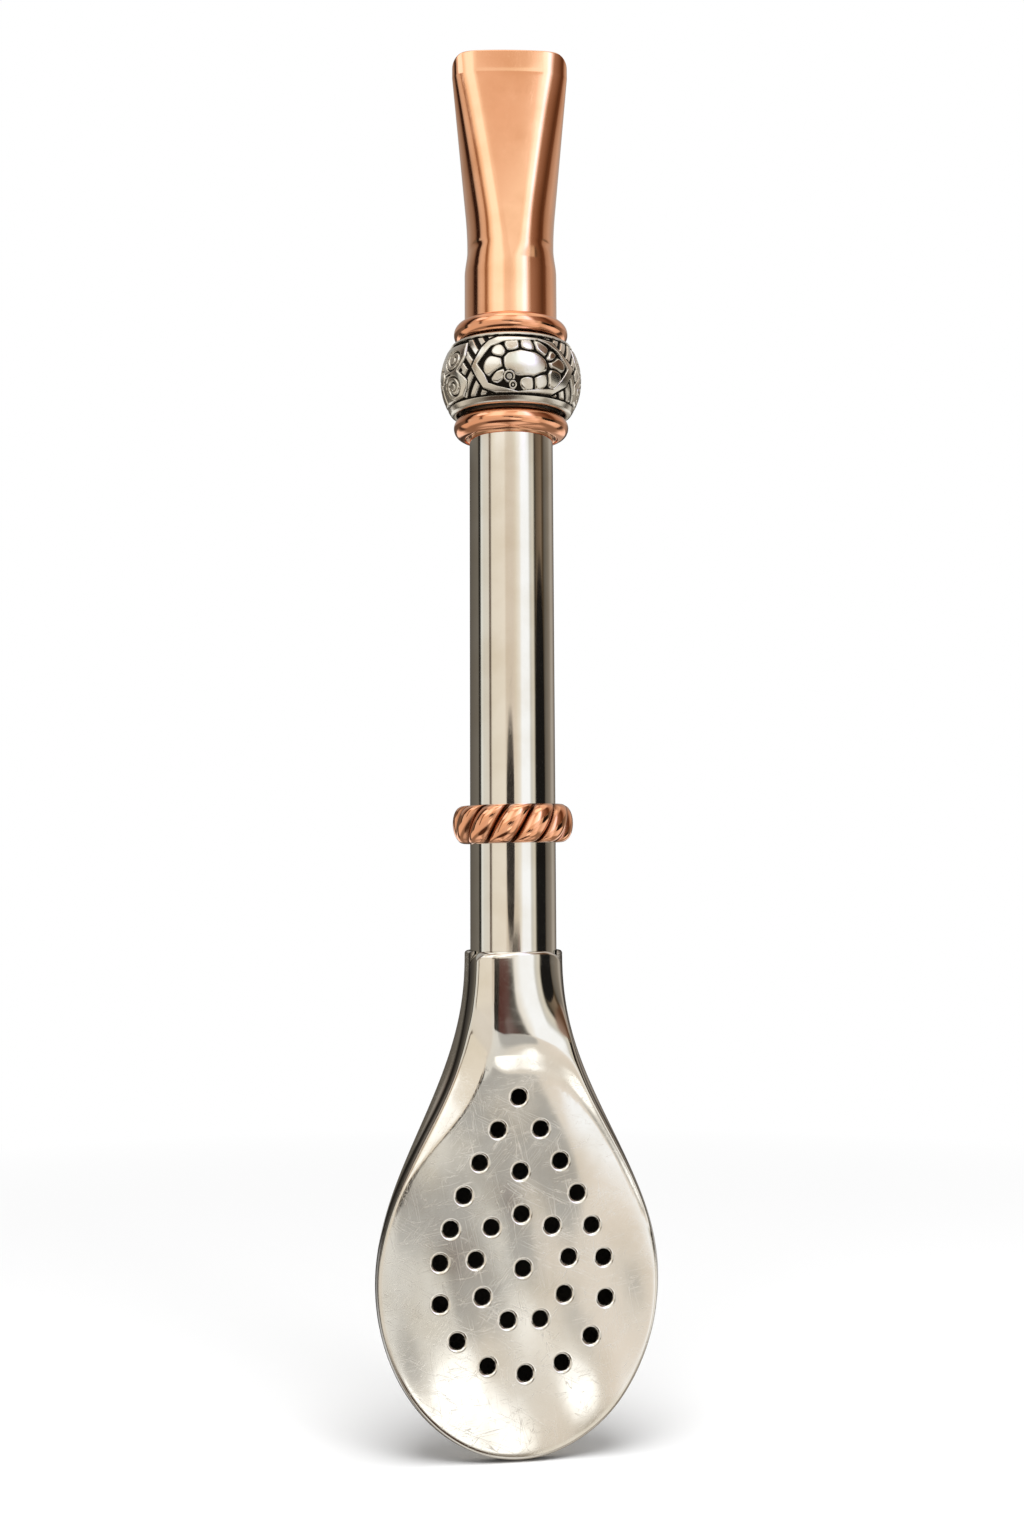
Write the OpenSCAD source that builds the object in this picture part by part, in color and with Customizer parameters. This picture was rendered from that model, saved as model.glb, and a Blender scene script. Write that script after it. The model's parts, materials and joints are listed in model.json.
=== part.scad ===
// Bombilla: a metal straw for mate, with a flattened mouthpiece, a carved bead between two collar rings,
// a loose twisted ring on the stem and a spoon-shaped filter of two shells.
// Millimetres. +Z runs up the stem from the spoon's tip, and the perforated side faces -Y.

/* [Stem] */
// Outer diameter of the stem tube
stem_d = 10; // [8:0.1:12]
// Wall of the stem tube
stem_wall = 0.5; // [0.3:0.05:0.8]
// Bare stem between the filter's neck and the lower collar ring
stem_bare = 60.5; // [45:0.1:80]
// Depth of the stem in the filter's neck
stem_insert = 7.7; // [6:0.1:11]

/* [Mouthpiece] */
// Wall of the mouthpiece tube
mouth_wall = 0.55; // [0.4:0.05:0.8]
// Height of the round socket left bare above the upper collar ring
socket_bare = 5.95; // [3:0.05:14]
// Height of the step from the socket in to the waist
shoulder_h = 3.2; // [0.6:0.1:4]
// Radial depth of the pinched waist
waist_pinch = 0.33; // [0.1:0.01:0.5]
// Height from the waist to the top of the lip
blade_len = 25.2; // [18:0.2:34]
// Turn of the mouthpiece about the stem, against the filter's front, in degrees
mouth_turn = -6; // [-10:0.5:10]
// Width of the flattened lip
lip_w = 14.2; // [12.6:0.1:17]
// Thickness of the blade below the lip's band
lip_t = 4.6; // [3.6:0.1:6]
// Width of the flat on each face of the blade, at the lip
blade_flat = 8.4; // [6:0.1:10]
// Height of the bevelled band at the lip
lip_band_h = 3; // [1.5:0.1:5]
// Inward bevel of the band on each face
lip_bevel = 0.35; // [0:0.05:0.6]
// Radius of the lip's corners, seen from the front
lip_corner_r = 1.4; // [0.5:0.1:2]

/* [Collar rings] */
// Radial thickness of each half-round collar ring
collar_t = 1.28; // [0.8:0.02:2]
// Height of each collar ring
collar_h = 2.7; // [2:0.1:3.4]

/* [Bead] */
// Height of the bead
bead_h = 8.65; // [7:0.05:13]
// Thickness from the bead's bore to its surface, at the middle
bead_mid_t = 2.85; // [2.4:0.05:4]
// Thickness from the bead's bore to its surface, at the ends
bead_end_t = 1.45; // [1.2:0.05:2]
// Sheet thickness of the hollow bead
bead_wall = 0.7; // [0.4:0.05:0.9]
// Height of the plain band at each end
bead_band_h = 1.1; // [0.6:0.1:1.6]
// Depth of the carved ground between the bands
bead_ground = 0.15; // [0.05:0.05:0.3]
// Depth of the dark recess inside each rim
bead_recess = 0.6; // [0.3:0.1:1.2]
// Wall of the sleeve inside the bead
sleeve_wall = 0.4; // [0.3:0.05:0.6]
// Thickness of the sleeve's flanges
flange_h = 0.6; // [0.4:0.1:1.2]

/* [Twisted ring] */
// Height of the ring
twist_h = 4.45; // [3:0.05:6]
// Radial thickness of the ring
twist_t = 1.95; // [1.2:0.05:2.8]
// Number of slanted lobes round the ring
twist_lobes = 12; // [8:1:16]
// Depth of the grooves between the lobes
twist_groove = 0.75; // [0.2:0.05:1]
// Turn of each lobe about the stem between its foot and its top, in degrees
twist_turn = 28; // [0:1:40]
// Rest height of the ring's foot above the filter's neck
twist_rise = 12.3; // [2:0.05:40]
// Tilt of the loose ring on the stem, in degrees
twist_tilt = 1; // [0:0.1:2]

/* [Filter bowl] */
// Width of the spoon
bowl_w = 32; // [26:0.5:38]
// Length from the spoon's tip to its widest place
bowl_tip_len = 19.2; // [16:0.2:24]
// Length from the widest place to the top of the neck
bowl_flank_len = 36.2; // [30:0.2:46]
// Power that shapes the hollow of the spoon's flanks
flank_power = 1.2; // [1:0.05:1.6]
// Sheet thickness of the filter
filter_wall = 0.62; // [0.4:0.02:0.7]
// Distance of the seam in front of the stem's axis
seam_front = 2.7; // [1:0.1:3.2]
// Depth of the back shell behind the seam
back_depth = 7; // [5:0.1:9]
// Height of the front plate's turned edge
plate_edge_h = 1; // [0.8:0.05:1.4]
// Rise of the front plate's dome above its edge
plate_dome_h = 1; // [0.4:0.1:2]
// Length of the neck's bump past the stem's end
bump_spare = 0.4; // [0.2:0.1:2]
// Length over which the bump fades into the plate
bump_fade = 4.6; // [1.5:0.1:6]

/* [Filter holes] */
// Diameter of each hole
hole_d = 1.7; // [1:0.05:2.2]
// Distance from the spoon's side to the outer loop of holes
loop_margin = 6.5; // [4:0.1:8]
// Distance from the spoon's tip to the lowest hole
loop_tip_gap = 9.45; // [6:0.05:12]
// Holes on the round part of the outer loop
loop_count = 9; // [5:2:13]
// Angle between those holes
loop_step = 26; // [18:0.5:28]
// Holes on each row from the loop to the apex, with the apex
row_count = 5; // [2:1:6]
// Outward bow of each row
row_bow = 0.9; // [0:0.1:2]
// Distance from the fading bump to the apex hole
apex_gap = 3.35; // [2:0.05:8]
// Half width of the inner ring of holes
inner_w_r = 5.3; // [4.5:0.05:7]
// Half height of the inner ring of holes
inner_h_r = 5.85; // [4.5:0.05:7]
// Holes on the inner ring
inner_count = 9; // [6:1:11]
// Height of the inner ring's centre above the spoon's widest place
inner_rise = 1.55; // [0:0.05:2]
// Height of the single upper hole above the inner ring
upper_rise = 4.6; // [3:0.05:8]
// Lean of the hole pattern from the spoon's centre line, in degrees
pattern_lean = 1.2; // [-3:0.1:3]
// Shift of the hole pattern to the right of the centre line
pattern_shift = 0.3; // [-1:0.1:1]

/* [Fits] */
// Radial clearance of the soldered laps
solder_gap = 0.03; // [0.01:0.01:0.06]
// Radial clearance of the filter's neck on the stem
neck_slip = 0.04; // [0.01:0.01:0.1]
// Radial clearance of the bead on the mouthpiece's socket
bead_slip = 0.06; // [0.02:0.01:0.1]
// End play of the bead against each collar ring
bead_play = 0.12; // [0.05:0.01:0.3]
// Radial clearance of the twisted ring on the stem
twist_slip = 0.05; // [0.02:0.01:0.2]
// Gap at the butted end of the stem and along the filter's seam
butt_gap = 0.04; // [0.02:0.01:0.1]

/* [Hidden] */
$fn = 64;

copper = "#d9925f";
steel = "#cfc8ba";
antique = "#7d776b";

// Cutting tools run past the faces that they cut
over = 1;
// Skin that a true bore trims off a faceted shell
ream = 0.05;

// Radii, outward from the stem
stem_r = stem_d / 2;
socket_bore_r = stem_r + solder_gap;
socket_r = socket_bore_r + mouth_wall;
waist_r = socket_r - waist_pinch;
collar_bore_r = socket_r + solder_gap;
collar_r = collar_bore_r + collar_t;
bead_bore_r = socket_r + bead_slip;
bead_mid_r = bead_bore_r + bead_mid_t;
bead_end_r = bead_bore_r + bead_end_t;
neck_bore_r = stem_r + neck_slip;
neck_r = neck_bore_r + filter_wall;
twist_bore_r = (stem_r + twist_h / 2 * sin(twist_tilt)) / cos(twist_tilt) + twist_slip;

// Heights, upward from the spoon's tip
neck_z = bowl_tip_len + bowl_flank_len;
stem_z = neck_z - stem_insert;
bump_z = stem_z - bump_spare;
fade_z = bump_z - bump_fade;
twist_z = neck_z + twist_rise + twist_h / 2;
lower_collar_z = neck_z + stem_bare;
bead_z = lower_collar_z + collar_h + bead_play;
upper_collar_z = bead_z + bead_h + bead_play;
socket_z = lower_collar_z + butt_gap;
shoulder_z = upper_collar_z + collar_h + socket_bare;
waist_z = shoulder_z + shoulder_h;
lip_z = waist_z + blade_len;
stem_top_z = shoulder_z - butt_gap;

// A smooth step from 0 to 1, flat at both ends
function clamp01(u) = min(1, max(0, u));
function ease(u) = let (v = clamp01(u)) v * v * (3 - 2 * v);

// A straight ramp from 0 to 1 that starts softly over the share e
function soft_start(u, e) = (u < e ? u * u / (2 * e) : u - e / 2) / (1 - e / 2);

// Two triangles of the quad a b c d
function quad(a, b, c, d) = [[a, b, c], [a, c, d]];
function flat_list(lists) = [for (list = lists) each list];
function turned(faces) = [for (f = faces) [f[2], f[1], f[0]]];

// A tube between two stacks of rings, with as many points in each ring
module tube_solid(outer, inner) {
    rings = len(outer);
    count = len(outer[0]);
    base = rings * count;
    function at(k, j) = k * count + j % count;
    walls = [for (k = [0 : rings - 2], j = [0 : count - 1])
        each concat(quad(at(k, j), at(k + 1, j), at(k + 1, j + 1), at(k, j + 1)),
                    quad(base + at(k, j), base + at(k, j + 1), base + at(k + 1, j + 1), base + at(k + 1, j)))];
    top = rings - 1;
    ends = [for (j = [0 : count - 1])
        each concat(quad(at(0, j), at(0, j + 1), base + at(0, j + 1), base + at(0, j)),
                    quad(at(top, j + 1), at(top, j), base + at(top, j), base + at(top, j + 1)))];
    polyhedron(concat(flat_list(outer), flat_list(inner)), concat(walls, ends), convexity = 8);
}

// A half shell between two grids of points that run from the spoon's tip to its neck
module shell_solid(outer, inner, faces_front) {
    rows = len(outer);
    count = len(outer[0]);
    base = rows * count;
    last = count - 1;
    function at(k, j) = k * count + j;
    skins = [for (k = [0 : rows - 2], j = [0 : last - 1])
        each concat(quad(at(k, j), at(k, j + 1), at(k + 1, j + 1), at(k + 1, j)),
                    quad(base + at(k, j), base + at(k + 1, j), base + at(k + 1, j + 1), base + at(k, j + 1)))];
    rims = [for (k = [0 : rows - 2])
        each concat(quad(at(k, 0), at(k + 1, 0), base + at(k + 1, 0), base + at(k, 0)),
                    quad(base + at(k, last), base + at(k + 1, last), at(k + 1, last), at(k, last)))];
    neck = [for (j = [0 : last - 1])
        each quad(at(rows - 1, j), at(rows - 1, j + 1), base + at(rows - 1, j + 1), base + at(rows - 1, j))];
    tip = concat([for (j = [1 : last - 1]) [0, j + 1, j]],
                 [for (j = [1 : last - 1]) [base, base + j, base + j + 1]],
                 quad(last, 0, base, base + last));
    faces = concat(skins, rims, neck, tip);
    polyhedron(concat(flat_list(outer), flat_list(inner)), faces_front ? turned(faces) : faces, convexity = 8);
}

// Ring of points round a flattened tube of half width a and half thickness b, with flats of half width f
blade_points = 40;
function flat_ring(z, a, b, f, drop = false) =
    [for (i = [0 : blade_points - 1])
        let (t = 360 * (i + 0.5) / blade_points,
             x = f * sign(cos(t)) + (a - f) * cos(t))
        [x, b * sin(t), z - (drop ? corner_drop(x) : 0)]];

// Fall of the lip's top edge at its rounded corners
function corner_drop(x) =
    let (past = max(0, abs(x) - lip_w / 2 + lip_corner_r))
    lip_corner_r - sqrt(max(0, lip_corner_r * lip_corner_r - past * past));

// Rings of the blade from just inside the waist to the lip, set in from its surface
blade_lap = 0.4;
blade_step = 0.03;
blade_steps = 8;
blade_softness = 0.2;
flat_growth = 0.55;
function blade_rings(inset) =
    let (low_r = waist_r - blade_step,
         rise = blade_len - lip_band_h)
    concat(
        [flat_ring(waist_z - blade_lap, low_r - inset, low_r - inset, 0)],
        [for (i = [0 : blade_steps])
            let (u = i / blade_steps,
                 s = soft_start(u, blade_softness),
                 a = low_r + (lip_w / 2 - low_r) * s - inset,
                 b = low_r + (lip_t / 2 - low_r) * s - inset)
            flat_ring(waist_z + rise * u, a, b, blade_flat / 2 * pow(u, flat_growth))],
        [flat_ring(lip_z, lip_w / 2 - inset, lip_t / 2 - lip_bevel - inset, blade_flat / 2, drop = true)]);

module mouthpiece() {
    waist_bore_r = waist_r - mouth_wall;
    color(copper) rotate([0, 0, mouth_turn]) union() {
        rotate_extrude()
            polygon([[socket_bore_r, socket_z], [socket_r, socket_z], [socket_r, shoulder_z],
                     [waist_r, waist_z], [waist_bore_r, waist_z], [waist_bore_r, shoulder_z],
                     [socket_bore_r, shoulder_z]]);
        tube_solid(blade_rings(0), blade_rings(mouth_wall - 2 * blade_step));
    }
}

// Half-round ring on the mouthpiece's socket, standing on the height z
module collar_ring(z) {
    translate([0, 0, z + collar_h / 2])
        rotate_extrude()
            intersection() {
                translate([collar_r - collar_h / 2, 0])
                    circle(d = collar_h);
                translate([collar_bore_r, -collar_h])
                    square([collar_r, 2 * collar_h]);
            }
}

module upper_collar_ring() {
    color(copper) collar_ring(upper_collar_z);
}

module lower_collar_ring() {
    color(copper) collar_ring(lower_collar_z);
}

// The bead's barrel is an arc through its two ends and its middle
barrel_swell = bead_mid_r - bead_end_r;
barrel_r = (bead_h * bead_h / 4 + barrel_swell * barrel_swell) / (2 * barrel_swell);
barrel_x = bead_mid_r - barrel_r;
function barrel_at(z, inset) = barrel_x + sqrt(pow(barrel_r - inset, 2) - z * z);

module bead_shell() {
    ground_h = bead_h - 2 * bead_band_h;
    color(antique)
        translate([0, 0, bead_z + bead_h / 2])
            rotate_extrude()
                difference() {
                    intersection() {
                        translate([barrel_x, 0])
                            circle(r = barrel_r);
                        translate([bead_bore_r, -bead_h / 2])
                            square([bead_mid_r, bead_h]);
                    }
                    translate([barrel_x, 0])
                        circle(r = barrel_r - bead_wall);
                    difference() {
                        translate([bead_bore_r, -ground_h / 2])
                            square([bead_mid_r, ground_h]);
                        translate([barrel_x, 0])
                            circle(r = barrel_r - bead_ground);
                    }
                }
}

module bead_sleeve() {
    sleeve_h = bead_h;
    flange_z = sleeve_h / 2 - bead_recess;
    flange_r = barrel_at(flange_z, bead_wall) - solder_gap;
    sleeve_r = bead_bore_r + sleeve_wall;
    color(antique)
        translate([0, 0, bead_z + bead_h / 2])
            difference() {
                union() {
                    cylinder(h = sleeve_h, r = sleeve_r, center = true);
                    for (side = [-1, 1])
                        translate([0, 0, side * (flange_z - flange_h / 2)])
                            cylinder(h = flange_h, r = flange_r, center = true);
                }
                cylinder(h = sleeve_h + 2 * over, r = bead_bore_r, center = true);
            }
}

module stem() {
    color(steel)
        difference() {
            translate([0, 0, stem_z])
                cylinder(h = stem_top_z - stem_z, r = stem_r);
            translate([0, 0, stem_z - over])
                cylinder(h = stem_top_z - stem_z + 2 * over, r = stem_r - stem_wall);
        }
}

// Points of the twisted ring: angle a about the stem from the front, and angle b over its rounded section
twist_squareness = 0.55;
function twist_point(a, b) =
    let (z = twist_h / 2 * sin(b),
         lobe = abs(cos(twist_lobes / 2 * (a - twist_turn * z / twist_h))),
         out = (twist_t + ream - twist_groove * (1 - lobe)) * pow(cos(b), twist_squareness),
         r = twist_bore_r - ream + out)
    [r * sin(a), -r * cos(a), z];

module twisted_ring() {
    lobe_steps = 8;
    turns = twist_lobes * lobe_steps;
    arc = [-90, -74, -54, -28, 0, 28, 54, 74, 90];
    count = len(arc);
    function at(p, q) = (p % turns) * count + q % count;
    points = [for (p = [0 : turns - 1], b = arc) twist_point(360 * p / turns, b)];
    faces = [for (p = [0 : turns - 1], q = [0 : count - 1])
        each quad(at(p, q), at(p, q + 1), at(p + 1, q + 1), at(p + 1, q))];
    color(copper)
        translate([0, 0, twist_z])
            rotate([0, -twist_tilt, 0])
                difference() {
                    polyhedron(points, faces, convexity = 8);
                    cylinder(h = twist_h + 2 * over, r = twist_bore_r, center = true);
                }
}

// Stations along the spoon: height, share of the full section, and share of the way out to the tip
tip_steps = 9;
tip_angle = 3;
tip_stations = [for (i = [0 : tip_steps])
    let (a = tip_angle + (90 - tip_angle) * i / tip_steps)
    [bowl_tip_len, sin(a), cos(a) / cos(tip_angle)]];
function run(low, high, steps) = [for (i = [1 : steps]) [low + (high - low) * i / steps, 1, 0]];
stations = concat(tip_stations, run(bowl_tip_len, fade_z, 10), run(fade_z, bump_z, 5), run(bump_z, neck_z, 4));
section_steps = 24;
section = [for (j = [0 : section_steps]) 2 * j / section_steps - 1];

// Height, half width and depth at a station, set in from the outer surface
function height_at(s, inset) = s[0] - (bowl_tip_len - inset) * s[2];
function flank_w(z) =
    neck_r + (bowl_w / 2 - neck_r) * pow((1 + cos(180 * (z - bowl_tip_len) / bowl_flank_len)) / 2, flank_power);
function width_at(s, inset) = s[1] * (flank_w(s[0]) - inset);
function neck_share(s) = ease((s[0] - bowl_tip_len) / (bump_z - bowl_tip_len));
function depth_at(s, inset) = s[1] * (back_depth + (neck_r - back_depth) * neck_share(s) - inset);
function centre_y(s) = -seam_front * (1 - neck_share(s));

// Angle from the back to the seam, and half width of the opening at the seam
function seam_angle(s, inset) = acos((-seam_front - centre_y(s)) / depth_at(s, inset));
function seam_w(s, inset) = width_at(s, inset) * sin(seam_angle(s, inset));

// Back shell: an elliptical arc at each station
function back_point(s, inset, t) =
    let (a = t * seam_angle(s, inset))
    [width_at(s, inset) * sin(a), centre_y(s) + depth_at(s, inset) * cos(a), height_at(s, inset)];
function back_grid(inset) = [for (s = stations) [for (t = section) back_point(s, inset, t)]];

// Front plate: a shallow dome with a turned edge, and a half-round bump over the stem's end
edge_power = 8;
blend_power = 2.2;
neck_flatness = 0.85;
nose_taper = 0.5;
function bump_rise(s) = ease((s[0] - fade_z) / bump_fade);
function dome_at(s, inset, t) =
    let (out = sqrt(t * t * s[1] * s[1] + 1 - s[1] * s[1]),
         edge = (plate_edge_h - inset) * sqrt(max(0, 1 - pow(out, edge_power))))
    (edge + plate_dome_h * (1 - out * out)) * (1 - neck_flatness * bump_rise(s));
function bump_at(s, inset, x) =
    let (r = neck_r - inset,
         side = x * (1 + nose_taper * (1 - bump_rise(s))),
         round = sqrt(max(0, r * r - side * side)) - seam_front)
    max(0, round) * bump_rise(s);
function front_point(s, inset, t) =
    let (side = sin(90 * t),
         x = seam_w(s, inset) * side,
         dome = dome_at(s, inset, side),
         bump = bump_at(s, inset, x),
         rise = pow(pow(dome, blend_power) + pow(bump, blend_power), 1 / blend_power))
    [x, -seam_front - butt_gap - rise, height_at(s, inset)];
function front_grid(inset) = [for (s = stations) [for (t = section) front_point(s, inset, t)]];

// True bore of the filter's neck, down to the stem's end
module neck_bore() {
    translate([0, 0, stem_z - butt_gap])
        cylinder(h = stem_insert + butt_gap + over, r = neck_bore_r);
}

// Places of the holes: a round loop with two rows up to an apex, an inner ring, its centre, and one above
loop_w_r = bowl_w / 2 - loop_margin;
loop_h_r = bowl_tip_len - loop_tip_gap;
function loop_at(a) = [loop_w_r * sin(a), bowl_tip_len - loop_h_r * cos(a)];
loop_half = (loop_count - 1) / 2;
loop_end_at = loop_at(loop_step * loop_half);
apex_at = [0, fade_z - apex_gap];
inner_z = bowl_tip_len + inner_rise;
loop_holes = [for (i = [-loop_half : loop_half]) loop_at(loop_step * i)];
row_holes = [for (i = [1 : row_count - 1], side = [-1, 1])
    let (u = i / row_count,
         at = loop_end_at + (apex_at - loop_end_at) * u)
    [side * (at[0] + 4 * row_bow * u * (1 - u)), at[1]]];
inner_holes = [for (i = [0 : inner_count - 1])
    let (a = 90 + 360 * i / inner_count)
    [inner_w_r * cos(a), inner_z + inner_h_r * sin(a)]];
single_holes = [apex_at, [0, inner_z], [0, inner_z + inner_h_r + upper_rise]];
function leaned(at) = [at[0] + pattern_shift - (at[1] - bowl_tip_len) * tan(pattern_lean), at[1]];
holes = [for (at = concat(loop_holes, row_holes, inner_holes, single_holes)) leaned(at)];

module filter_front_plate() {
    punch_len = neck_r + over;
    color(steel)
        difference() {
            shell_solid(front_grid(0), front_grid(filter_wall + ream), faces_front = true);
            neck_bore();
            for (at = holes)
                translate([at[0], 0, at[1]])
                    rotate([90, 0, 0])
                        cylinder(h = punch_len, d = hole_d);
        }
}

module filter_back_shell() {
    color(steel)
        difference() {
            shell_solid(back_grid(0), back_grid(filter_wall + ream), faces_front = false);
            neck_bore();
        }
}

mouthpiece();
upper_collar_ring();
bead_shell();
bead_sleeve();
lower_collar_ring();
stem();
twisted_ring();
filter_front_plate();
filter_back_shell();
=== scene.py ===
import json
from math import acos, cos, degrees, pi, radians, sin, tan

import bmesh
import bpy
import numpy as np
from mathutils import Matrix, Vector, geometry

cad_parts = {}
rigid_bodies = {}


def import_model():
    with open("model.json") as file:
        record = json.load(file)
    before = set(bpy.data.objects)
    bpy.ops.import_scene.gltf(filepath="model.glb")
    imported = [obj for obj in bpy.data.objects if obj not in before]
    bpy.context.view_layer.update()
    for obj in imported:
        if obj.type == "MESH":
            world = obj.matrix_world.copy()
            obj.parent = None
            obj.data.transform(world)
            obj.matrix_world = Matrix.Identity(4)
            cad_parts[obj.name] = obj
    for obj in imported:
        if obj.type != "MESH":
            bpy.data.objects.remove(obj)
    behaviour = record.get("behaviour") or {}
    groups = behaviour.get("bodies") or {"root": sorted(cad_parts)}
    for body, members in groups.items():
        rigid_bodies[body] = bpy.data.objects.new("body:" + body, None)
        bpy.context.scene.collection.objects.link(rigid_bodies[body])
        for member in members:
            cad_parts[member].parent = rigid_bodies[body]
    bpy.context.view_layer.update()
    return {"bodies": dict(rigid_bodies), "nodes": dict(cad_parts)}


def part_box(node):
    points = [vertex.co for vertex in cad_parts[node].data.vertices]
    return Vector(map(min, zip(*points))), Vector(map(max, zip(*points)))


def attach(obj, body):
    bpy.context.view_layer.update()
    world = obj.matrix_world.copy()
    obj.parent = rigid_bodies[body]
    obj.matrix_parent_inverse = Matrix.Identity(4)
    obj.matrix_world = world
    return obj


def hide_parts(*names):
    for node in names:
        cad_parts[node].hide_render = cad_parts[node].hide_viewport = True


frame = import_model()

# Units: shapes are worked out in millimetres and scaled once, when a mesh is made
MM = 0.001


def span(node):
    """Lowest and highest corner of a CAD node, in millimetres."""
    low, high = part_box(node)
    return np.array(low) / MM, np.array(high) / MM


# Sizes read from the frame
stem_low, stem_high = span("stem")
mouth_low, mouth_high = span("mouthpiece")
bead_low, bead_high = span("bead_shell")
twist_low, twist_high = span("twisted_ring")

STEM_R = stem_high[1]
LIP_Z = mouth_high[2]
NECK_Z = span("filter_back_shell")[1][2]
BOWL_HALF_W = span("filter_front_plate")[1][0]
BEAD_Z = (bead_low[2] + bead_high[2]) / 2
BEAD_H = bead_high[2] - bead_low[2]
TWIST_Z = (twist_low[2] + twist_high[2]) / 2

# Stem, collar rings and mouthpiece, in millimetres
TUBE_WALL = 0.5
TUBE_ROUND = 0.12
COLLAR_BORE = 5.61
MOUTH_WALL = 0.55
MOUTH_ROUND = 0.2
MOUTH_TURN = radians(-6)
SOCKET_R = 5.58
WAIST_R = 5.25
SHOULDER_Z = 136.14
WAIST_Z = 139.34
LIP_BAND_H = 3.0
LIP_HALF_W = 7.1
LIP_HALF_T = 2.3
LIP_TOP_HALF_T = 1.9
LIP_CORNER_R = 1.4
LIP_ARCH = 0.15
LIP_LINE_Z = LIP_Z - LIP_BAND_H
PANEL_LEAST_HALF_W = 0.1
PANEL_LOW_HALF_W = 0.7
PANEL_TOP_HALF_W = 4.05
PANEL_SHIFT = 0.25
PANEL_CROWN = 0.16
LINE_DEPTH = 0.012
LINE_HALF_H = 0.3
LINE_REACH = 0.6
CRIMP_DEPTH = 0.06
CRIMP_DROP = 0.2
CRIMP_HALF_H = 0.45
CRIMP_TURN = 0.9
CRIMP_HALF_TURN = 0.25
PINCH_FADE = (SHOULDER_Z, WAIST_Z)
PINCH_TOP_Z = WAIST_Z + 2.0

# Bead
BEAD_MID_R = 8.49
BEAD_END_R = 7.09
BEAD_WALL = 0.7
BEAD_ROUND = 0.25
RELIEF_DEPTH = 0.36

# Twisted ring
TWIST_H = 4.45
TWIST_T = 1.95
TWIST_LOBES = 12
TWIST_GROOVE = 1.15
LOBE_TAPER = 0.22
TWIST_TURN = radians(36)
TWIST_START = radians(-11)
TWIST_BORE = 5.09
TWIST_REAM = 0.05
TWIST_TILT = radians(1)

# Filter
TIP_LEN = 19.2
FLANK_LEN = 36.2
FLANK_POWER = 1.2
FILTER_WALL = 0.5
SEAM_FRONT = 2.7
NECK_SEAM_FRONT = 1.9
SEAM_FADE = (38, 50)
BACK_DEPTH = 7.0
NECK_R = 5.66
PLATE_EDGE_H = 1.0
PLATE_DOME_H = 1.0
BUTT_GAP = 0.04
BUMP_Z = 47.3
NOSE_LOW_Z = 41.8
NOSE_LEN = 4.6
NOSE_SWEEP = 0.08
NOSE_TUCK = 0.25
NOSE_X = -1.3
BEVEL_W = 3.0
BEVEL_FADE = (26, 41)
BEVEL_SLOPE = 0.37
LEFT_DOME_H = 0.5
BEVEL_SOFT = 0.1
SIDE_FADE = (-5, 5)
PLATE_LIFT = 0.42
LEFT_LIFT = 0.3
LEFT_LIFT_FADE = (-6, 2)
LIFT_LOW_Z = 28
LIFT_HIGH_Z = 44
LIFT_SOFT = 0.4
LEFT_FADE = (40, 50)
RIGHT_FADE = (45, 54)
ARCH_SIDE_FADE = (-2, 2)
CREST_X = -1.8
ARCH_BEND = 0.017
ARCH_FALL = 0.0015
ARCH_POWER = 3.8
CREASE_X = 3.2
CREASE_SLOPE = 0.45
CREASE_SOFT = 0.22
TOP_ROLL = 0.35
TOP_CLOSE = 0.6
RIM_SLOPE = 3.4
RIM_BEND = 3
HOLE_R = 0.85
HOLE_RIM_R = 1.22
HOLE_ROUND = 0.33
LOOP_W = 9.5
LOOP_H = 9.75
LOOP_STEP_DEG = 26
LOOP_SIDE = 4
ROW_STEPS = 5
ROW_BOW = 0.9
APEX_Z = 39.35
RING_W = 5.3
RING_H = 5.85
RING_Z = 20.75
RING_HOLES = 9
SINGLE_Z = 31.2
PATTERN_LEAN_DEG = 1.2
PATTERN_SHIFT = 0.3
CORNER_H = 1.9
CORNER_Z = NECK_Z - CORNER_H
LEFT_CORNER_W = 1.5
RIGHT_CORNER_W = 2.6
SHELL_ROUND = 0.35
# Painted shade along the filter's seam: how far it reaches in millimetres, and how strong it starts
SEAM_SHADE_W = 0.3
SEAM_SHADE_START = 1.3
GLOSS_FADE = (39, 47)
GRID_LOW_Z = 0.07
DETAIL_Z = 40
DETAIL_LEFT_X = -3
EDGE_INSETS = (0.06, 0.12, 0.18, 0.25, 0.32, 0.4, 0.5, 0.62, 0.78, 1.0, 1.25, 1.5)
HOLE_RINGS = (0.858, 0.875, 0.9, 0.94, 0.99, 1.05, 1.12, HOLE_RIM_R, 1.36)
EDGE_CLEAR = 1.6
HOLE_CLEAR = 1.5
# Share of a hole's radius inside which triangles are left out
HOLE_CUT = 0.985
# Beaten waves of the plate: height, turn for each millimetre across and up, start
HAMMER_WAVES = [(0.06, 0.52, 0.30, 0.6), (0.08, 0.27, -0.25, 0.8), (0.03, 0.83, 0.12, -1.0)]


# Curves


def ease(u):
    v = np.clip(u, 0.0, 1.0)
    return v * v * (3 - 2 * v)


def fade(value, limits):
    """A soft change from 0 at the first limit to 1 at the second."""
    low, high = limits
    return ease((value - low) / (high - low))


def soft_start(u, part):
    """A ramp from 0 to 1 that starts with no slope over its first part."""
    return np.where(u < part, u * u / (2 * part), u - part / 2) / (1 - part / 2)


def rolled(below, length):
    """Quarter-round share of a rolled edge: 0 at a length below the edge, 1 on it."""
    u = np.clip(1 - below / length, 0, 1)
    return 1 - np.sqrt(1 - u * u)


def groove(distance, width):
    return np.exp(-((distance / width) ** 2))


def steps_to(low, high, count):
    """Evenly spaced values after low, up to high."""
    return [low + (high - low) * k / count for k in range(1, count + 1)]


# Mesh helpers


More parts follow.
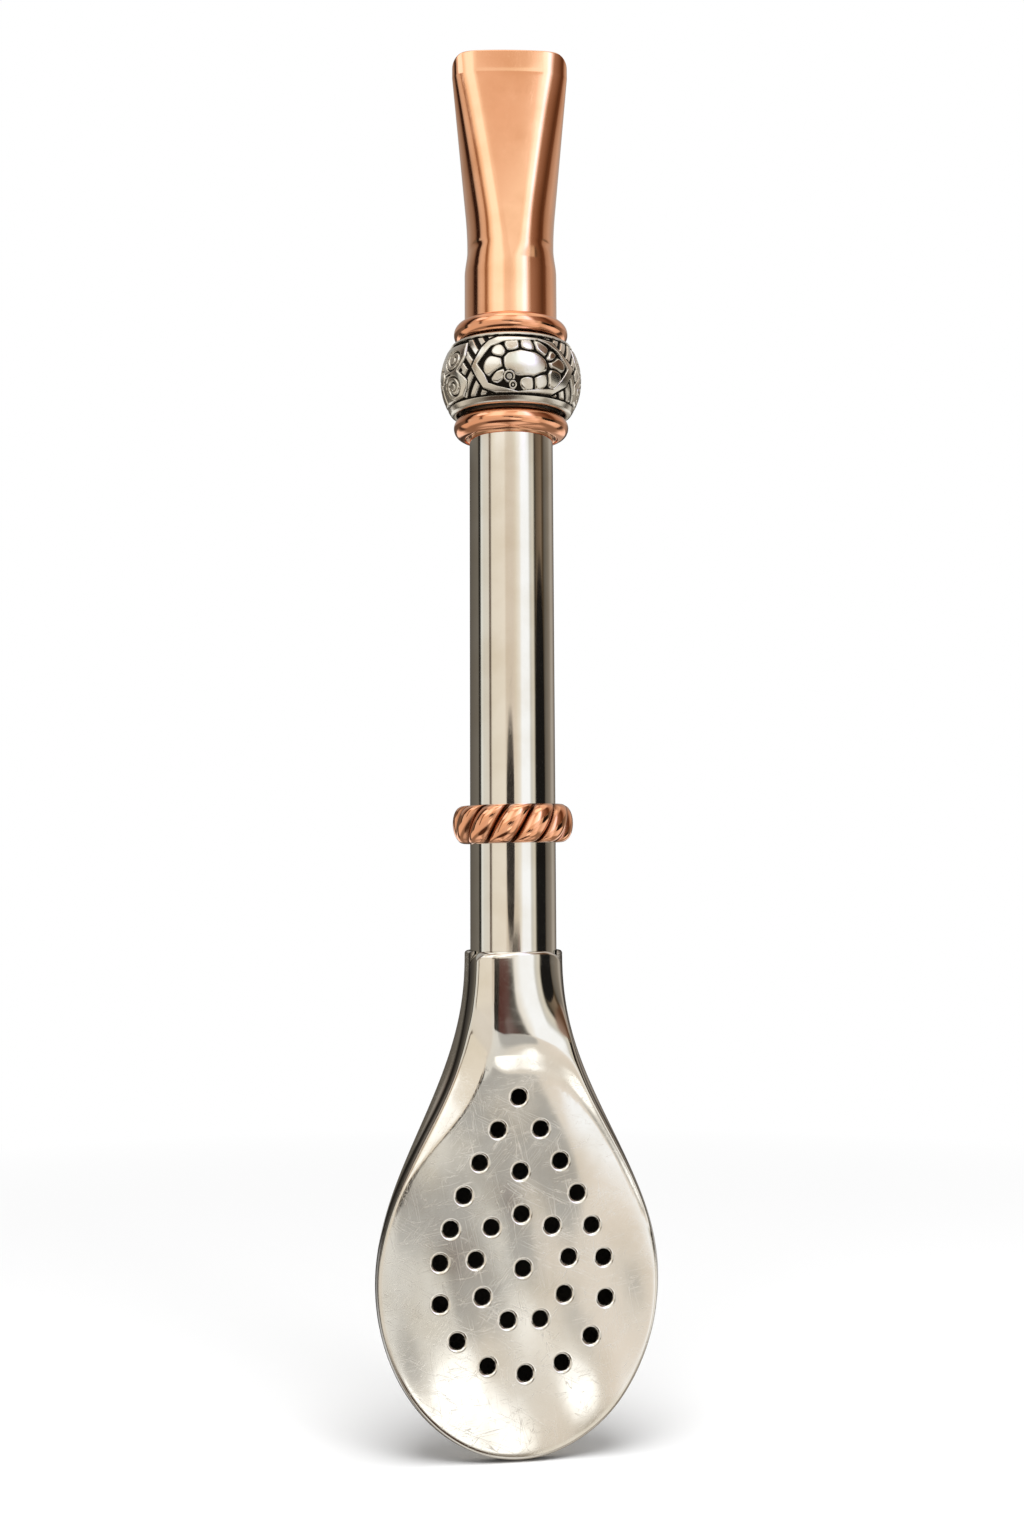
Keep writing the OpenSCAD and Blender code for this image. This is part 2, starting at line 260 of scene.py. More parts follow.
def grid_faces(rows, cols, close_rows=True):
    """Quads over a grid of points numbered row by row, whose columns run all the way round."""
    faces = []
    for i in range(rows if close_rows else rows - 1):
        k = (i + 1) % rows
        for j in range(cols):
            m = (j + 1) % cols
            faces.append((i * cols + j, i * cols + m, k * cols + m, k * cols + j))
    return faces


def new_object(name, data):
    made = bpy.data.objects.new(name, data)
    bpy.context.scene.collection.objects.link(made)
    return made


def make_piece(name, points, faces, sharp_deg=35):
    """A smooth mesh object from points in millimetres, with its faces turned outwards."""
    mesh = bpy.data.meshes.new(name)
    mesh.from_pydata((np.asarray(points).reshape(-1, 3) * MM).tolist(), [], faces)
    bm = bmesh.new()
    bm.from_mesh(mesh)
    bmesh.ops.recalc_face_normals(bm, faces=bm.faces)
    bm.to_mesh(mesh)
    bm.free()
    mesh.shade_smooth()
    mesh.set_sharp_from_angle(angle=radians(sharp_deg))
    return new_object(name, mesh)


def make_grid(name, points, sharp_deg=35):
    """A closed piece from rows of points."""
    return make_piece(name, points, grid_faces(*points.shape[:2]), sharp_deg)


def paint_value(piece, name, values):
    """Keeps one number per point on the mesh for its material to read."""
    layer = piece.data.attributes.new(name, "FLOAT", "POINT")
    layer.data.foreach_set("value", np.asarray(values, dtype=np.float32).ravel())


def dress(piece, body, node, slot, *materials):
    """Puts a piece on its body in the place of a CAD node, with its materials."""
    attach(piece, body)
    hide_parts(node)
    for material in materials:
        piece.data.materials.append(material)


def full_turn(count):
    return np.linspace(0, 2 * pi, count, endpoint=False)


def join(*parts):
    """Points from their coordinates."""
    return np.stack(np.broadcast_arrays(*parts), axis=-1)


def around_z(radius, angle, height):
    """Points about the Z axis, with angles counted from the front."""
    return join(radius * np.sin(angle), -radius * np.cos(angle), height)


def lathe(name, profile, turns):
    """A piece from a closed list of (radius, height) turned about Z."""
    angles = full_turn(turns)
    radius, height = np.array(profile).T[:, :, None]
    return make_grid(name, around_z(radius, angles, height))


def arc(centre_r, centre_z, radius, start_deg, end_deg, steps):
    """Points of a round stretch of a profile; 0 degrees points away from the axis and 90 up."""
    angles = np.radians(np.linspace(start_deg, end_deg, steps))
    return [(centre_r + radius * cos(a), centre_z + radius * sin(a)) for a in angles]


# Stem: a plain tube with eased ends


def make_stem():
    r = TUBE_ROUND
    low = stem_low[2] + r
    high = stem_high[2] - r
    outer = STEM_R - r
    inner = STEM_R - TUBE_WALL + r
    profile = arc(outer, low, r, -90, 0, 5)
    profile += [(STEM_R, z) for z in steps_to(stem_low[2], stem_high[2], 40)[:-1]]
    profile += arc(outer, high, r, 0, 90, 5) + arc(inner, high, r, 90, 180, 5)
    profile += arc(inner, low, r, 180, 270, 5)
    return lathe("stem_tube", profile, 160)


# Collar rings: half-round wire closed round the tube


def make_collar(node):
    low, high = span(node)
    half_h = (high[2] - low[2]) / 2
    middle_z = (low[2] + high[2]) / 2
    centre_r = high[1] - half_h
    cut = degrees(acos((COLLAR_BORE - centre_r) / half_h))
    return lathe(node + "_wire", arc(centre_r, middle_z, half_h, -cut, cut, 49), 192)


# Mouthpiece: a round socket, a pinched waist and a blade flattened to the lip


def blade_section(half_w, half_t, flat, shift, crown):
    """One closed section: two elliptical ends joined by slightly crowned panels."""
    ends = np.linspace(-pi / 2, pi / 2, 56, endpoint=False)
    along = np.linspace(0, 1, 14, endpoint=False)
    x = []
    y = []
    for side in (1, -1):
        near = flat + side * shift
        x += [side * (near + (half_w - near) * np.cos(ends)), side * (near - 2 * flat * along)]
        y += [side * half_t * np.sin(ends), side * half_t + 0 * along]
    x = np.concatenate(x)
    return x, np.concatenate(y) * (1 - crown * (x / half_w) ** 2)


def blade_width(z):
    """Half width of the mouthpiece's outside: narrowed at the waist, widened to the lip."""
    if z <= WAIST_Z:
        return float(SOCKET_R + (WAIST_R - SOCKET_R) * fade(z, PINCH_FADE))
    way = min((z - WAIST_Z) / (LIP_LINE_Z - WAIST_Z), 1.0)
    return float(WAIST_R + (LIP_HALF_W - WAIST_R) * soft_start(way, 0.2))


def blade_thickness(z):
    """Half thickness of the mouthpiece's outside: one soft bend, then an even taper."""
    way = np.clip((z - SHOULDER_Z) / (LIP_LINE_Z - SHOULDER_Z), 0, 1)
    band = max(z - LIP_LINE_Z, 0.0) / LIP_BAND_H
    taper = (LIP_HALF_T - SOCKET_R) * soft_start(way, 0.3)
    return float(SOCKET_R + taper + (LIP_TOP_HALF_T - LIP_HALF_T) * band)


def mouth_ring(z, inset=0.0):
    """One ring of points round the mouthpiece at a height."""
    half_w = blade_width(z) - inset
    half_t = blade_thickness(z) - inset
    way = min(max((z - WAIST_Z) / (LIP_LINE_Z - WAIST_Z), 0.0), 1.0)
    start = float(fade(z, PINCH_FADE))
    flat = PANEL_LOW_HALF_W * start + (PANEL_TOP_HALF_W - PANEL_LOW_HALF_W) * way
    flat = max(flat, PANEL_LEAST_HALF_W)
    x, y = blade_section(half_w, half_t, flat, PANEL_SHIFT * (start - way), PANEL_CROWN * way)
    if inset == 0:
        angle = np.arctan2(np.abs(x), np.abs(y))
        crimp = CRIMP_DEPTH * groove(z - WAIST_Z + CRIMP_DROP, CRIMP_HALF_H)
        pinch = 1 - crimp * groove(angle - CRIMP_TURN, CRIMP_HALF_TURN) / WAIST_R
        across = np.exp(-((x / PANEL_TOP_HALF_W) ** 6))
        line = LINE_DEPTH * groove(z - LIP_LINE_Z, LINE_HALF_H) * across
        x, y = x * pinch, y * (pinch - line / half_t)
    drop = np.clip(np.abs(x) - (half_w - LIP_CORNER_R), 0, LIP_CORNER_R)
    fall = LIP_CORNER_R - np.sqrt(LIP_CORNER_R**2 - drop**2) + LIP_ARCH * (x / half_w) ** 2
    tall = z - fall * ease((z - LIP_LINE_Z) / LIP_BAND_H)
    turned_x = x * cos(MOUTH_TURN) - y * sin(MOUTH_TURN)
    turned_y = x * sin(MOUTH_TURN) + y * cos(MOUTH_TURN)
    return join(turned_x, turned_y, tall)


def make_mouthpiece():
    low = mouth_low[2]
    rows = []
    for a in np.radians(np.linspace(90, 0, 5)):
        rows.append(mouth_ring(low + MOUTH_ROUND * (1 - sin(a)), MOUTH_ROUND * (1 - cos(a))))
    lip_r = MOUTH_WALL / 2
    top = LIP_Z - lip_r
    marks = [(SHOULDER_Z, 12), (WAIST_Z, 16), (PINCH_TOP_Z, 24)]
    marks += [(LIP_LINE_Z - LINE_REACH, 40), (LIP_LINE_Z + LINE_REACH, 24), (top, 12)]
    heights = [low + MOUTH_ROUND]
    for mark, count in marks:
        heights += steps_to(heights[-1], mark, count)
    rows += [mouth_ring(z) for z in heights[1:]]
    for a in steps_to(0, pi, 12)[:-1]:
        rows.append(mouth_ring(top, lip_r - lip_r * cos(a)) + [0, 0, lip_r * sin(a)])
    rows += [mouth_ring(z, MOUTH_WALL) for z in heights[::-4]]
    return make_grid("mouthpiece_tube", np.array(rows))


# Bead: a hollow barrel carved with a framed flower and scrolls, twice round


def ellipse_distance(s, t, centre, radii, turn_deg=0.0):
    a = radians(turn_deg)
    u = (s - centre[0]) * cos(a) + (t - centre[1]) * sin(a)
    v = (t - centre[1]) * cos(a) - (s - centre[0]) * sin(a)
    return (np.hypot(u / radii[0], v / radii[1]) - 1) * min(radii)


def line_distance(x, y, corners):
    """Distance of each point to the line through some corners."""
    best = np.full(x.shape, 1e9)
    for (x0, y0), (x1, y1) in zip(corners, corners[1:]):
        ex = x1 - x0
        ey = y1 - y0
        u = np.clip(((x - x0) * ex + (y - y0) * ey) / (ex * ex + ey * ey), 0, 1)
        best = np.minimum(best, np.hypot(x - x0 - ex * u, y - y0 - ey * u))
    return best


def polygon_distance(s, t, corners):
    """Signed distance to a closed polygon, negative inside."""
    ring = corners + corners[:1]
    inside = np.zeros(s.shape, dtype=bool)
    for (x0, y0), (x1, y1) in zip(ring, ring[1:]):
        if y0 != y1:
            inside ^= ((y0 > t) != (y1 > t)) & (s < (x1 - x0) * (t - y0) / (y1 - y0) + x0)
    return np.where(inside, -1, 1) * line_distance(s, t, ring)


def swell(distance, edge):
    """A rounded raised form: 0 outside its outline, 1 once it is edge inside."""
    u = np.clip(-distance / edge, 0, 1)
    return np.sqrt(u * (2 - u))


MEDAL_DEG = 5.6
FRAME_OUTER = [
    (-7.0, -0.1), (-5.8, 2.2), (-4.9, 3.1), (-3.7, 3.55), (1.5, 3.45), (3.7, 3.2), (5.4, 1.5),
    (7.0, 0.5), (5.8, -2.0), (3.8, -3.2), (-1.1, -3.35), (-4.0, -3.3), (-5.6, -2.7), (-6.3, -1.5),
]
FRAME_INNER = [
    (-6.1, 0.2), (-4.5, 2.2), (-2.9, 2.75), (1.6, 3.1), (2.8, 2.75), (4.2, 2.0), (5.8, 0.1),
    (4.6, -1.5), (3.7, -2.5), (-1.1, -3.1), (-3.7, -2.5), (-4.8, -2.1), (-5.2, -1.1),
]
BOSS = ((-0.3, 0.1), (2.95, 1.65), -5)
PETALS = [
    ((-3.5, 1.55), (0.75, 0.72), 0),
    ((-1.85, 2.4), (0.85, 0.7), 10),
    ((0.1, 2.45), (0.85, 0.65), -15),
    ((1.95, 2.05), (1.1, 0.5), -36),
    ((3.2, 1.2), (0.62, 0.58), -45),
    ((4.05, 0.3), (1.05, 0.75), -5),
    ((3.65, -1.3), (0.85, 1.05), -12),
    ((1.75, -1.95), (0.95, 0.72), 30),
    ((0.15, -2.25), (0.85, 0.72), -10),
    ((-4.1, -0.15), (1.05, 1.2), -35),
    ((-3.6, -1.2), (0.7, 0.85), -35),
]
PETAL_GROW = 0.2
PETAL_LINE = 0.22
PETAL_EDGE = 0.3
CURLS = [((-2.2, -1.5), 0.6), ((-1.75, -2.45), 0.4)]
CURL_CLEAR = 0.16
# Raised forms of a curl: height, half width or inset, rounded edge
CURL_LINE = (0.95, 0.14, 0.12)
CURL_EYE = (0.55, 0.2, 0.15)
SCROLL_EDGE = [
    (8.1, 3.3), (7.9, 1.5), (8.7, 0.3), (9.1, -0.1), (8.1, -1.0), (7.7, -1.5), (8.0, -2.4), (8.8, -3.2),
    (14.0, -3.6), (14.0, 3.6),
]
SCROLL_EYES = [((10.2, 1.45), 1), ((10.4, -1.85), -1)]
SCROLL_MEET = pi / 2 * BEAD_MID_R
SCROLL_ROUND = 0.25
SPIRAL_PITCH = 0.66
SPIRAL_START = 0.1
SPIRAL_LINE = 0.1
SPIRAL_REACH = (0.3, 1.45)
SPIRAL_SQUASH = 0.85
BUTTON_R = 1.0
BUTTON_LINE = 0.13
PARTING_T = -0.2
PARTING_LINE = 0.12
PARTING_START = 10.6
LEAF_PER_MM = 5.2
LEAF_SLANT = (0.78, 0.62)
LEAF_START = 0.8
LEAF_H = 0.9
LEAF_SHARP = 1.8
LEAF_WIDE = 0.75
LEAF_CLEAR = 0.16
FRAME_EDGE = 0.14
TOP_BAND_T = 3.75
LOW_BAND_T = -3.5
BAND_EDGE = 0.1
BAND_LINE = 0.1
BAND_LINE_INSET = 0.07


def medallion(s, t):
    """Height of the flower inside the frame: a boss with petals close round it and two curls."""
    petals = [ellipse_distance(s, t, *petal) - PETAL_GROW for petal in PETALS]
    nearest, second = np.sort([ellipse_distance(s, t, *BOSS), *petals], axis=0)[:2]
    high = swell(nearest, PETAL_EDGE) * (1 - groove(second - nearest, PETAL_LINE))
    line_h, line_half_w, line_edge = CURL_LINE
    eye_h, eye_inset, eye_edge = CURL_EYE
    for centre, radius in CURLS:
        reach = np.hypot(s - centre[0], t - centre[1])
        high = np.where(reach < radius + CURL_CLEAR, 0.0, high)
        high = np.maximum(high, line_h * swell(np.abs(reach - radius) - line_half_w, line_edge))
        high = np.maximum(high, eye_h * swell(reach - radius + eye_inset, eye_edge))
    return high


def spirals(side, t):
    """Share of the height that the grooves of the two scrolls leave."""
    least, most = SPIRAL_REACH
    left = 1.0
    for (eye_s, eye_t), hand in SCROLL_EYES:
        u = side - eye_s
        v = (t - eye_t) * hand
        reach = np.hypot(u * SPIRAL_SQUASH, v)
        turns = (reach - SPIRAL_START) / SPIRAL_PITCH - np.arctan2(v, u) / (2 * pi)
        beside = (turns - np.round(turns)) * SPIRAL_PITCH
        left = left * (1 - groove(beside, SPIRAL_LINE) * ((reach > least) & (reach < most)))
    return left


def scrollwork(s, t, frame_d):
    """Height outside the frame: two scrolls between medallions, with leaf strokes beside them."""
    side = np.abs(s)
    scroll_d = polygon_distance(side, t, SCROLL_EDGE)
    high = swell(scroll_d, SCROLL_ROUND) * spirals(side, t)
    button = np.hypot(side - SCROLL_MEET, t - PARTING_T)
    beside = button > BUTTON_R
    split = groove(side - SCROLL_MEET, BUTTON_LINE) * beside
    parting = groove(t - PARTING_T, PARTING_LINE) * beside * (side > PARTING_START)
    high = high * (1 - np.clip(split + parting + groove(button - BUTTON_R, BUTTON_LINE), 0, 1))
    along = side * LEAF_SLANT[0] - np.abs(t - PARTING_T) * LEAF_SLANT[1]
    strokes = np.sin(LEAF_PER_MM * along + LEAF_START)
    leaf = LEAF_H * np.clip(strokes * LEAF_SHARP + LEAF_WIDE, 0, 1)
    return np.where((scroll_d > LEAF_CLEAR) & (frame_d > LEAF_CLEAR), leaf, high)


def bead_relief(angle, t):
    """Carving height, from 0 in the recesses to 1 on the high spots."""
    turn = (angle - radians(MEDAL_DEG) + pi / 2) % pi - pi / 2
    s = turn * BEAD_MID_R
    outer_d = polygon_distance(s, t, FRAME_OUTER)
    inner_d = polygon_distance(s, t, FRAME_INNER)
    border = swell(np.maximum(outer_d, -inner_d), FRAME_EDGE)
    high = np.where(outer_d > 0, scrollwork(s, t, outer_d), border)
    high = np.where(inner_d < 0, medallion(s, t), high)
    over = t - TOP_BAND_T
    under = LOW_BAND_T - t
    band = np.maximum(ease(over / BAND_EDGE), ease(under / BAND_EDGE))
    edge = groove(over + BAND_LINE_INSET, BAND_LINE) + groove(under + BAND_LINE_INSET, BAND_LINE)
    return np.clip(np.maximum(high * (1 - np.clip(edge, 0, 1)), band), 0, 1)


def make_bead():
    rows, cols = 190, 1100
    half = BEAD_H / 2
    rise = BEAD_MID_R - BEAD_END_R
    barrel_r = (half**2 + rise**2) / (2 * rise)
    t = np.linspace(-half, half, rows)
    envelope = BEAD_MID_R - barrel_r + np.sqrt(barrel_r**2 - t**2)
    angle = full_turn(cols)
    height = bead_relief(*np.meshgrid(angle, t))
    rim_fall = BEAD_ROUND * np.clip((np.abs(t) - half) / BEAD_ROUND + 1, 0, 1) ** 2
    radius = envelope[:, None] - RELIEF_DEPTH * (1 - height) - rim_fall[:, None]
    inner = np.repeat((envelope - BEAD_WALL)[::-6, None], cols, axis=1)
    tall = np.concatenate([t, t[::-6]])[:, None] + BEAD_Z
    points = around_z(np.concatenate([radius, inner]), angle, tall)
    piece = make_grid("bead_carved", points, sharp_deg=70)
    paint_value(piece, "relief", np.concatenate([height, np.zeros_like(inner)]))
    return piece


# Twisted ring: a closed band of slanting lobes


def make_twisted_ring():
    rows, cols = 72, TWIST_LOBES * 60
    lat = np.linspace(-pi / 2, pi / 2, rows)[:, None]
    angle = full_turn(cols)[None, :]
    z = TWIST_H / 2 * np.sin(lat)
    slant = TWIST_START + TWIST_TURN * lat / pi
    across = 2 * (((angle - slant) * TWIST_LOBES / (2 * pi) + 0.5) % 1.0) - 1
    leaf_w = 1 - LOBE_TAPER * (lat / (pi / 2)) ** 2
    lobe = np.sqrt(np.clip(1 - (across / leaf_w) ** 2, 0, 1))
    out = (TWIST_T + TWIST_REAM - TWIST_GROOVE * (1 - lobe)) * np.cos(lat) ** 0.5
    outer = around_z(TWIST_BORE - TWIST_REAM + out, angle, z)
    inner = around_z(TWIST_BORE, angle, TWIST_H / 2 * np.linspace(0.9, -0.9, 8)[:, None])
    points = np.concatenate([outer[1:-1], inner])
    turned = points @ np.array(Matrix.Rotation(-TWIST_TILT, 3, "Y")).T + [0, 0, TWIST_Z]
    piece = make_grid("twisted_band", turned, sharp_deg=75)
    # The lobe's height also sets the painted shade that darkens each lobe towards its grooves
    paint_value(piece, "relief", np.concatenate([lobe[1:-1], 0 * inner[:, :, 0]]))
    return piece


# Filter outline shared by the front plate and the back shell


def flank_half_w(z):
    swing = (1 + np.cos(pi * np.clip((z - TIP_LEN) / FLANK_LEN, 0, 1))) / 2
    return NECK_R + (BOWL_HALF_W - NECK_R) * swing**FLANK_POWER


def neck_share(z):
    return fade(z, (TIP_LEN, BUMP_Z))


def seam_front(z):
    """How far the seam lies in front of the axis."""
    return SEAM_FRONT + (NECK_SEAM_FRONT - SEAM_FRONT) * fade(z, SEAM_FADE)


def seam_half_w(z):
    """Half width of the seam's outline at a height."""
    share = neck_share(z)
    depth = BACK_DEPTH + (NECK_R - BACK_DEPTH) * share
    ahead = seam_front(z) - SEAM_FRONT * (1 - share)
    flank = flank_half_w(z) * np.sqrt(1 - (ahead / depth) ** 2)
    tip = BOWL_HALF_W * np.sqrt(np.clip(1 - ((TIP_LEN - z) / TIP_LEN) ** 2, 0, 1))
    return np.where(z < TIP_LEN, tip, flank)


def side_points(top):
    """Points of the seam's right side, from the tip up to a height."""
    swing = np.radians(np.linspace(0, 90, 400))
    tip = join(BOWL_HALF_W * np.sin(swing), TIP_LEN * (1 - np.cos(swing)))
    tall = np.linspace(TIP_LEN, top, 600)[1:]
    flank = join(seam_half_w(tall), tall)
    return np.concatenate([tip, flank])


def even_points(line, spacing):
    length = np.concatenate([[0], np.cumsum(np.hypot(*np.diff(line, axis=0).T))])
    even = np.linspace(0, length[-1], int(length[-1] / spacing) + 1)
    return join(*(np.interp(even, length, row) for row in line.T))


def seam_line(spacing):
    """Open line along the seam, from above the neck's left side round the tip and up the right."""
    right = even_points(side_points(NECK_Z + 2), spacing)
    return np.concatenate([right[:0:-1] * [-1, 1], right])


def tongue_side(corner_w, spacing):
    """Evenly spaced edge points of one side of the plate, with its rounded top corner."""
    turn = np.radians(np.linspace(0, 90, 40))[1:]
    corner_x = seam_half_w(CORNER_Z) - corner_w
    corner = join(corner_x + corner_w * np.cos(turn), CORNER_Z + CORNER_H * np.sin(turn))
    return even_points(np.concatenate([side_points(CORNER_Z), corner, [(0.0, NECK_Z)]]), spacing)


def plate_outline(spacing):
    """Points of the front plate's edge, from the tip up the right side and back down the left."""
    right = tongue_side(RIGHT_CORNER_W, spacing)
    left = tongue_side(LEFT_CORNER_W, spacing)
    return np.concatenate([right, left[-2:0:-1] * [-1, 1]])


def hole_centres():
    """Places of the punched holes: a loop, two bowed rows up to an apex, a ring and two single holes."""
    centres = []
    for k in range(-LOOP_SIDE, LOOP_SIDE + 1):
        a = radians(LOOP_STEP_DEG * k)
        centres.append((LOOP_W * sin(a), TIP_LEN - LOOP_H * cos(a)))
    end_x, end_z = centres[-1]
    for u in steps_to(0, 1, ROW_STEPS)[:-1]:
        x = end_x * (1 - u) + 4 * ROW_BOW * u * (1 - u)
        centres += [(side * x, end_z + (APEX_Z - end_z) * u) for side in (1, -1)]
    for a in full_turn(RING_HOLES):
        centres.append((-RING_W * sin(a), RING_Z + RING_H * cos(a)))
    centres += [(0.0, APEX_Z), (0.0, RING_Z), (0.0, SINGLE_Z)]
    lean = tan(radians(PATTERN_LEAN_DEG))
    return np.array([(x + PATTERN_SHIFT - (z - TIP_LEN) * lean, z) for x, z in centres])


OUTLINE = plate_outline(0.25)
SEAM_LINE = seam_line(0.25)
HOLES = hole_centres()


def edge_distance(x, z):
    """Distance of each point to the seam."""
    return line_distance(x, z, SEAM_LINE)


def hammered(x, z):
    """Slight unevenness of the plate, from being beaten to shape."""
    return sum(h * np.sin(across * x + up * z + start) for h, across, up, start in HAMMER_WAVES)


def slope_from(distance, slope, soft):
    """A slope that starts at distance 0, with a soft bend."""
    return slope * soft * np.logaddexp(0, distance / soft)


def section_drop(x, z, out_sq, edge):
    """Fall of the plate from its crest: bevelled left, domed right, arched over the stem's end."""
    bevel = slope_from(BEVEL_W * fade(z, BEVEL_FADE) - edge, BEVEL_SLOPE, BEVEL_SOFT)
    left = bevel + LEFT_DOME_H * out_sq
    right = PLATE_DOME_H * out_sq
    plate = left + (right - left) * fade(x, SIDE_FADE)
    beside = x - CREST_X
    arch = ARCH_BEND * beside**2 + ARCH_FALL * np.maximum(beside, 0) ** ARCH_POWER
    arch = arch + slope_from(-x - CREASE_X, CREASE_SLOPE, CREASE_SOFT)
    arched = fade(z, LEFT_FADE)
    arched = arched + (fade(z, RIGHT_FADE) - arched) * fade(x, ARCH_SIDE_FADE)
    return plate * (1 - arched) + arch * arched


def nose_share(x, z):
    """1 on the arch over the stem's end, 0 on the plate below it."""
    low = NOSE_LOW_Z - NOSE_SWEEP * np.maximum(x, 0) ** 2 + NOSE_TUCK * np.minimum(x - NOSE_X, 0) ** 2
    return ease((z - low) / NOSE_LEN)


def top_edge(x):
    """Height of the plate's top edge, rounded down at its corners."""
    corner_w = np.where(x > 0, RIGHT_CORNER_W, LEFT_CORNER_W)
    out = np.clip((np.abs(x) - seam_half_w(CORNER_Z)) / corner_w + 1, 0, 1)
    return CORNER_Z + CORNER_H * np.sqrt(1 - out**2)


def plate_front(x, z, finished=True):
    """Y of the front plate's outer face; finished adds the rolled top edge and the hole dimples."""
    edge = edge_distance(x, z)
    rise = RIM_SLOPE * edge
    turned = rise / (1 + rise**RIM_BEND) ** (1 / RIM_BEND)
    half_w = np.maximum(seam_half_w(z), 1e-6)
    flank_out = (x / half_w) ** 2
    tip_out = (x / BOWL_HALF_W) ** 2 + ((TIP_LEN - z) / TIP_LEN) ** 2
    out_sq = np.clip(np.where(z < TIP_LEN, tip_out, flank_out), 0, 1)
    lift = PLATE_LIFT + LEFT_LIFT * (1 - fade(x, LEFT_LIFT_FADE))
    way = np.clip((z - LIFT_LOW_Z) / (LIFT_HIGH_Z - LIFT_LOW_Z), 0, 1)
    lift = lift * soft_start(way, LIFT_SOFT)
    crest = PLATE_EDGE_H + PLATE_DOME_H + lift
    nose = nose_share(x, z)
    crest = crest + (NECK_R - SEAM_FRONT - crest) * nose + SEAM_FRONT - seam_front(z)
    height = crest - section_drop(x, z, out_sq, edge) + hammered(x, z) * (1 - nose)
    y = -seam_front(z) - BUTT_GAP - turned * height
    round_y = -np.sqrt(np.maximum(NECK_R**2 - x**2, seam_front(z) ** 2))
    below = top_edge(x) - z
    y = y + (np.maximum(round_y, y) - y) * rolled(below, TOP_CLOSE)
    if finished:
        y = y + TOP_ROLL * rolled(below, TOP_ROLL)
        for hx, hz in HOLES:
            reach = np.hypot(x - hx, z - hz)
            y = y + HOLE_ROUND * rolled(reach - HOLE_R, HOLE_RIM_R - HOLE_R)
    return y


def shifted_grid(step):
    """A grid of points over the plate, every second row shifted."""
    across = np.arange(-BOWL_HALF_W, BOWL_HALF_W, step)
    gx, gz = np.meshgrid(across, np.arange(GRID_LOW_Z, NECK_Z, step))
    gx = gx + (np.arange(gx.shape[0]) % 2)[:, None] * step / 2
    return join(gx.ravel(), gz.ravel())


def is_detailed(points):
    """Where the plate bends sharply: the neck, and the bevel on the left."""
    x, z = points.T
    return (z > DETAIL_Z) | ((z > BEVEL_FADE[0]) & (x < DETAIL_LEFT_X))


def within_plate(points, side_gap, top_gap):
    """Which points lie well inside the plate's outline."""
    x, z = points.T
    return (np.abs(x) < seam_half_w(z) - side_gap) & (z < NECK_Z - top_gap)


def field_points():
    """Points of the plate's field, closer together where it bends sharply."""
    coarse = shifted_grid(0.45)
    fine = shifted_grid(0.2)
    field = np.concatenate([coarse[~is_detailed(coarse)], fine[is_detailed(fine)]])
    field = field[within_plate(field, 0.2, 0.3)]
    clear = edge_distance(*field.T) > EDGE_CLEAR
    for hole in HOLES:
        clear &= np.hypot(*(field - hole).T) > HOLE_CLEAR
    return field[clear]


def plate_sites():
    """The closed chains that the plate's edges follow, and the points of its face in the XZ plane."""
    after = np.roll(OUTLINE, -1, axis=0) - np.roll(OUTLINE, 1, axis=0)
    normal = join(-after[:, 1], after[:, 0])
    normal /= np.hypot(*normal.T)[:, None]
    around = full_turn(36)
    circle = join(np.cos(around), np.sin(around))
    chains = [OUTLINE] + [hole + HOLE_R * circle for hole in HOLES]
    rings = [OUTLINE + inset * normal for inset in EDGE_INSETS]
    rings += [hole + r * circle for hole in HOLES for r in HOLE_RINGS]
    rings = np.concatenate(rings)
    return chains, np.concatenate([rings[within_plate(rings, 0.05, 0.05)], field_points()])


def plate_triangles():
    """The plate's face as points in the XZ plane and triangles, without those inside the holes."""
    chains, sites = plate_sites()
    edges = []
    start = 0
    for chain in chains:
        count = len(chain)
        edges += [(start + k, start + (k + 1) % count) for k in range(count)]
        start += count
    flat = [Vector(p) for p in np.concatenate([*chains, sites])]
    found = geometry.delaunay_2d_cdt(flat, edges, [list(range(len(OUTLINE)))], 1, 1e-5)
    spots = np.array([tuple(v) for v in found[0]])
    tris = np.array([f for f in found[2] if len(f) == 3])
    middle = spots[tris].mean(axis=1)
    keep = np.ones(len(tris), dtype=bool)
    for hole in HOLES:
        keep &= np.hypot(*(middle - hole).T) > HOLE_R * HOLE_CUT
    return spots, tris[keep]


def open_sides(tris):
    """Sides that belong to one triangle only."""
    sides = {}
    for a, b, c in tris:
        for i, j in ((a, b), (b, c), (c, a)):
            if (j, i) in sides:
                del sides[(j, i)]
            else:
                sides[(i, j)] = True
    return list(sides)


def seam_shade(distance):
    """How much painted shade darkens the metal at a distance from the seam, from 0 to 1."""
    return np.clip(SEAM_SHADE_START - distance / SEAM_SHADE_W, 0, 1)


def make_front_plate():
    spots, tris = plate_triangles()
    count = len(spots)
    x, z = spots.T
    front = join(x, plate_front(x, z), z)
    back = join(x, plate_front(x, z, finished=False) + FILTER_WALL, z)
    walls = [(i, j, j + count, i + count) for i, j in open_sides(tris)]
    faces = [tuple(t) for t in tris] + [tuple(t[::-1] + count) for t in tris] + walls
    piece = make_piece("filter_plate", np.concatenate([front, back]), faces, sharp_deg=50)
    smooth_plate_normals(piece, x, z, count)
    # Painted shade along the seam, kept on the mesh for the material
    paint_value(piece, "seam", np.tile(seam_shade(edge_distance(x, z)), 2))
    paint_value(piece, "gloss", np.tile(fade(z, GLOSS_FADE), 2))
    return piece


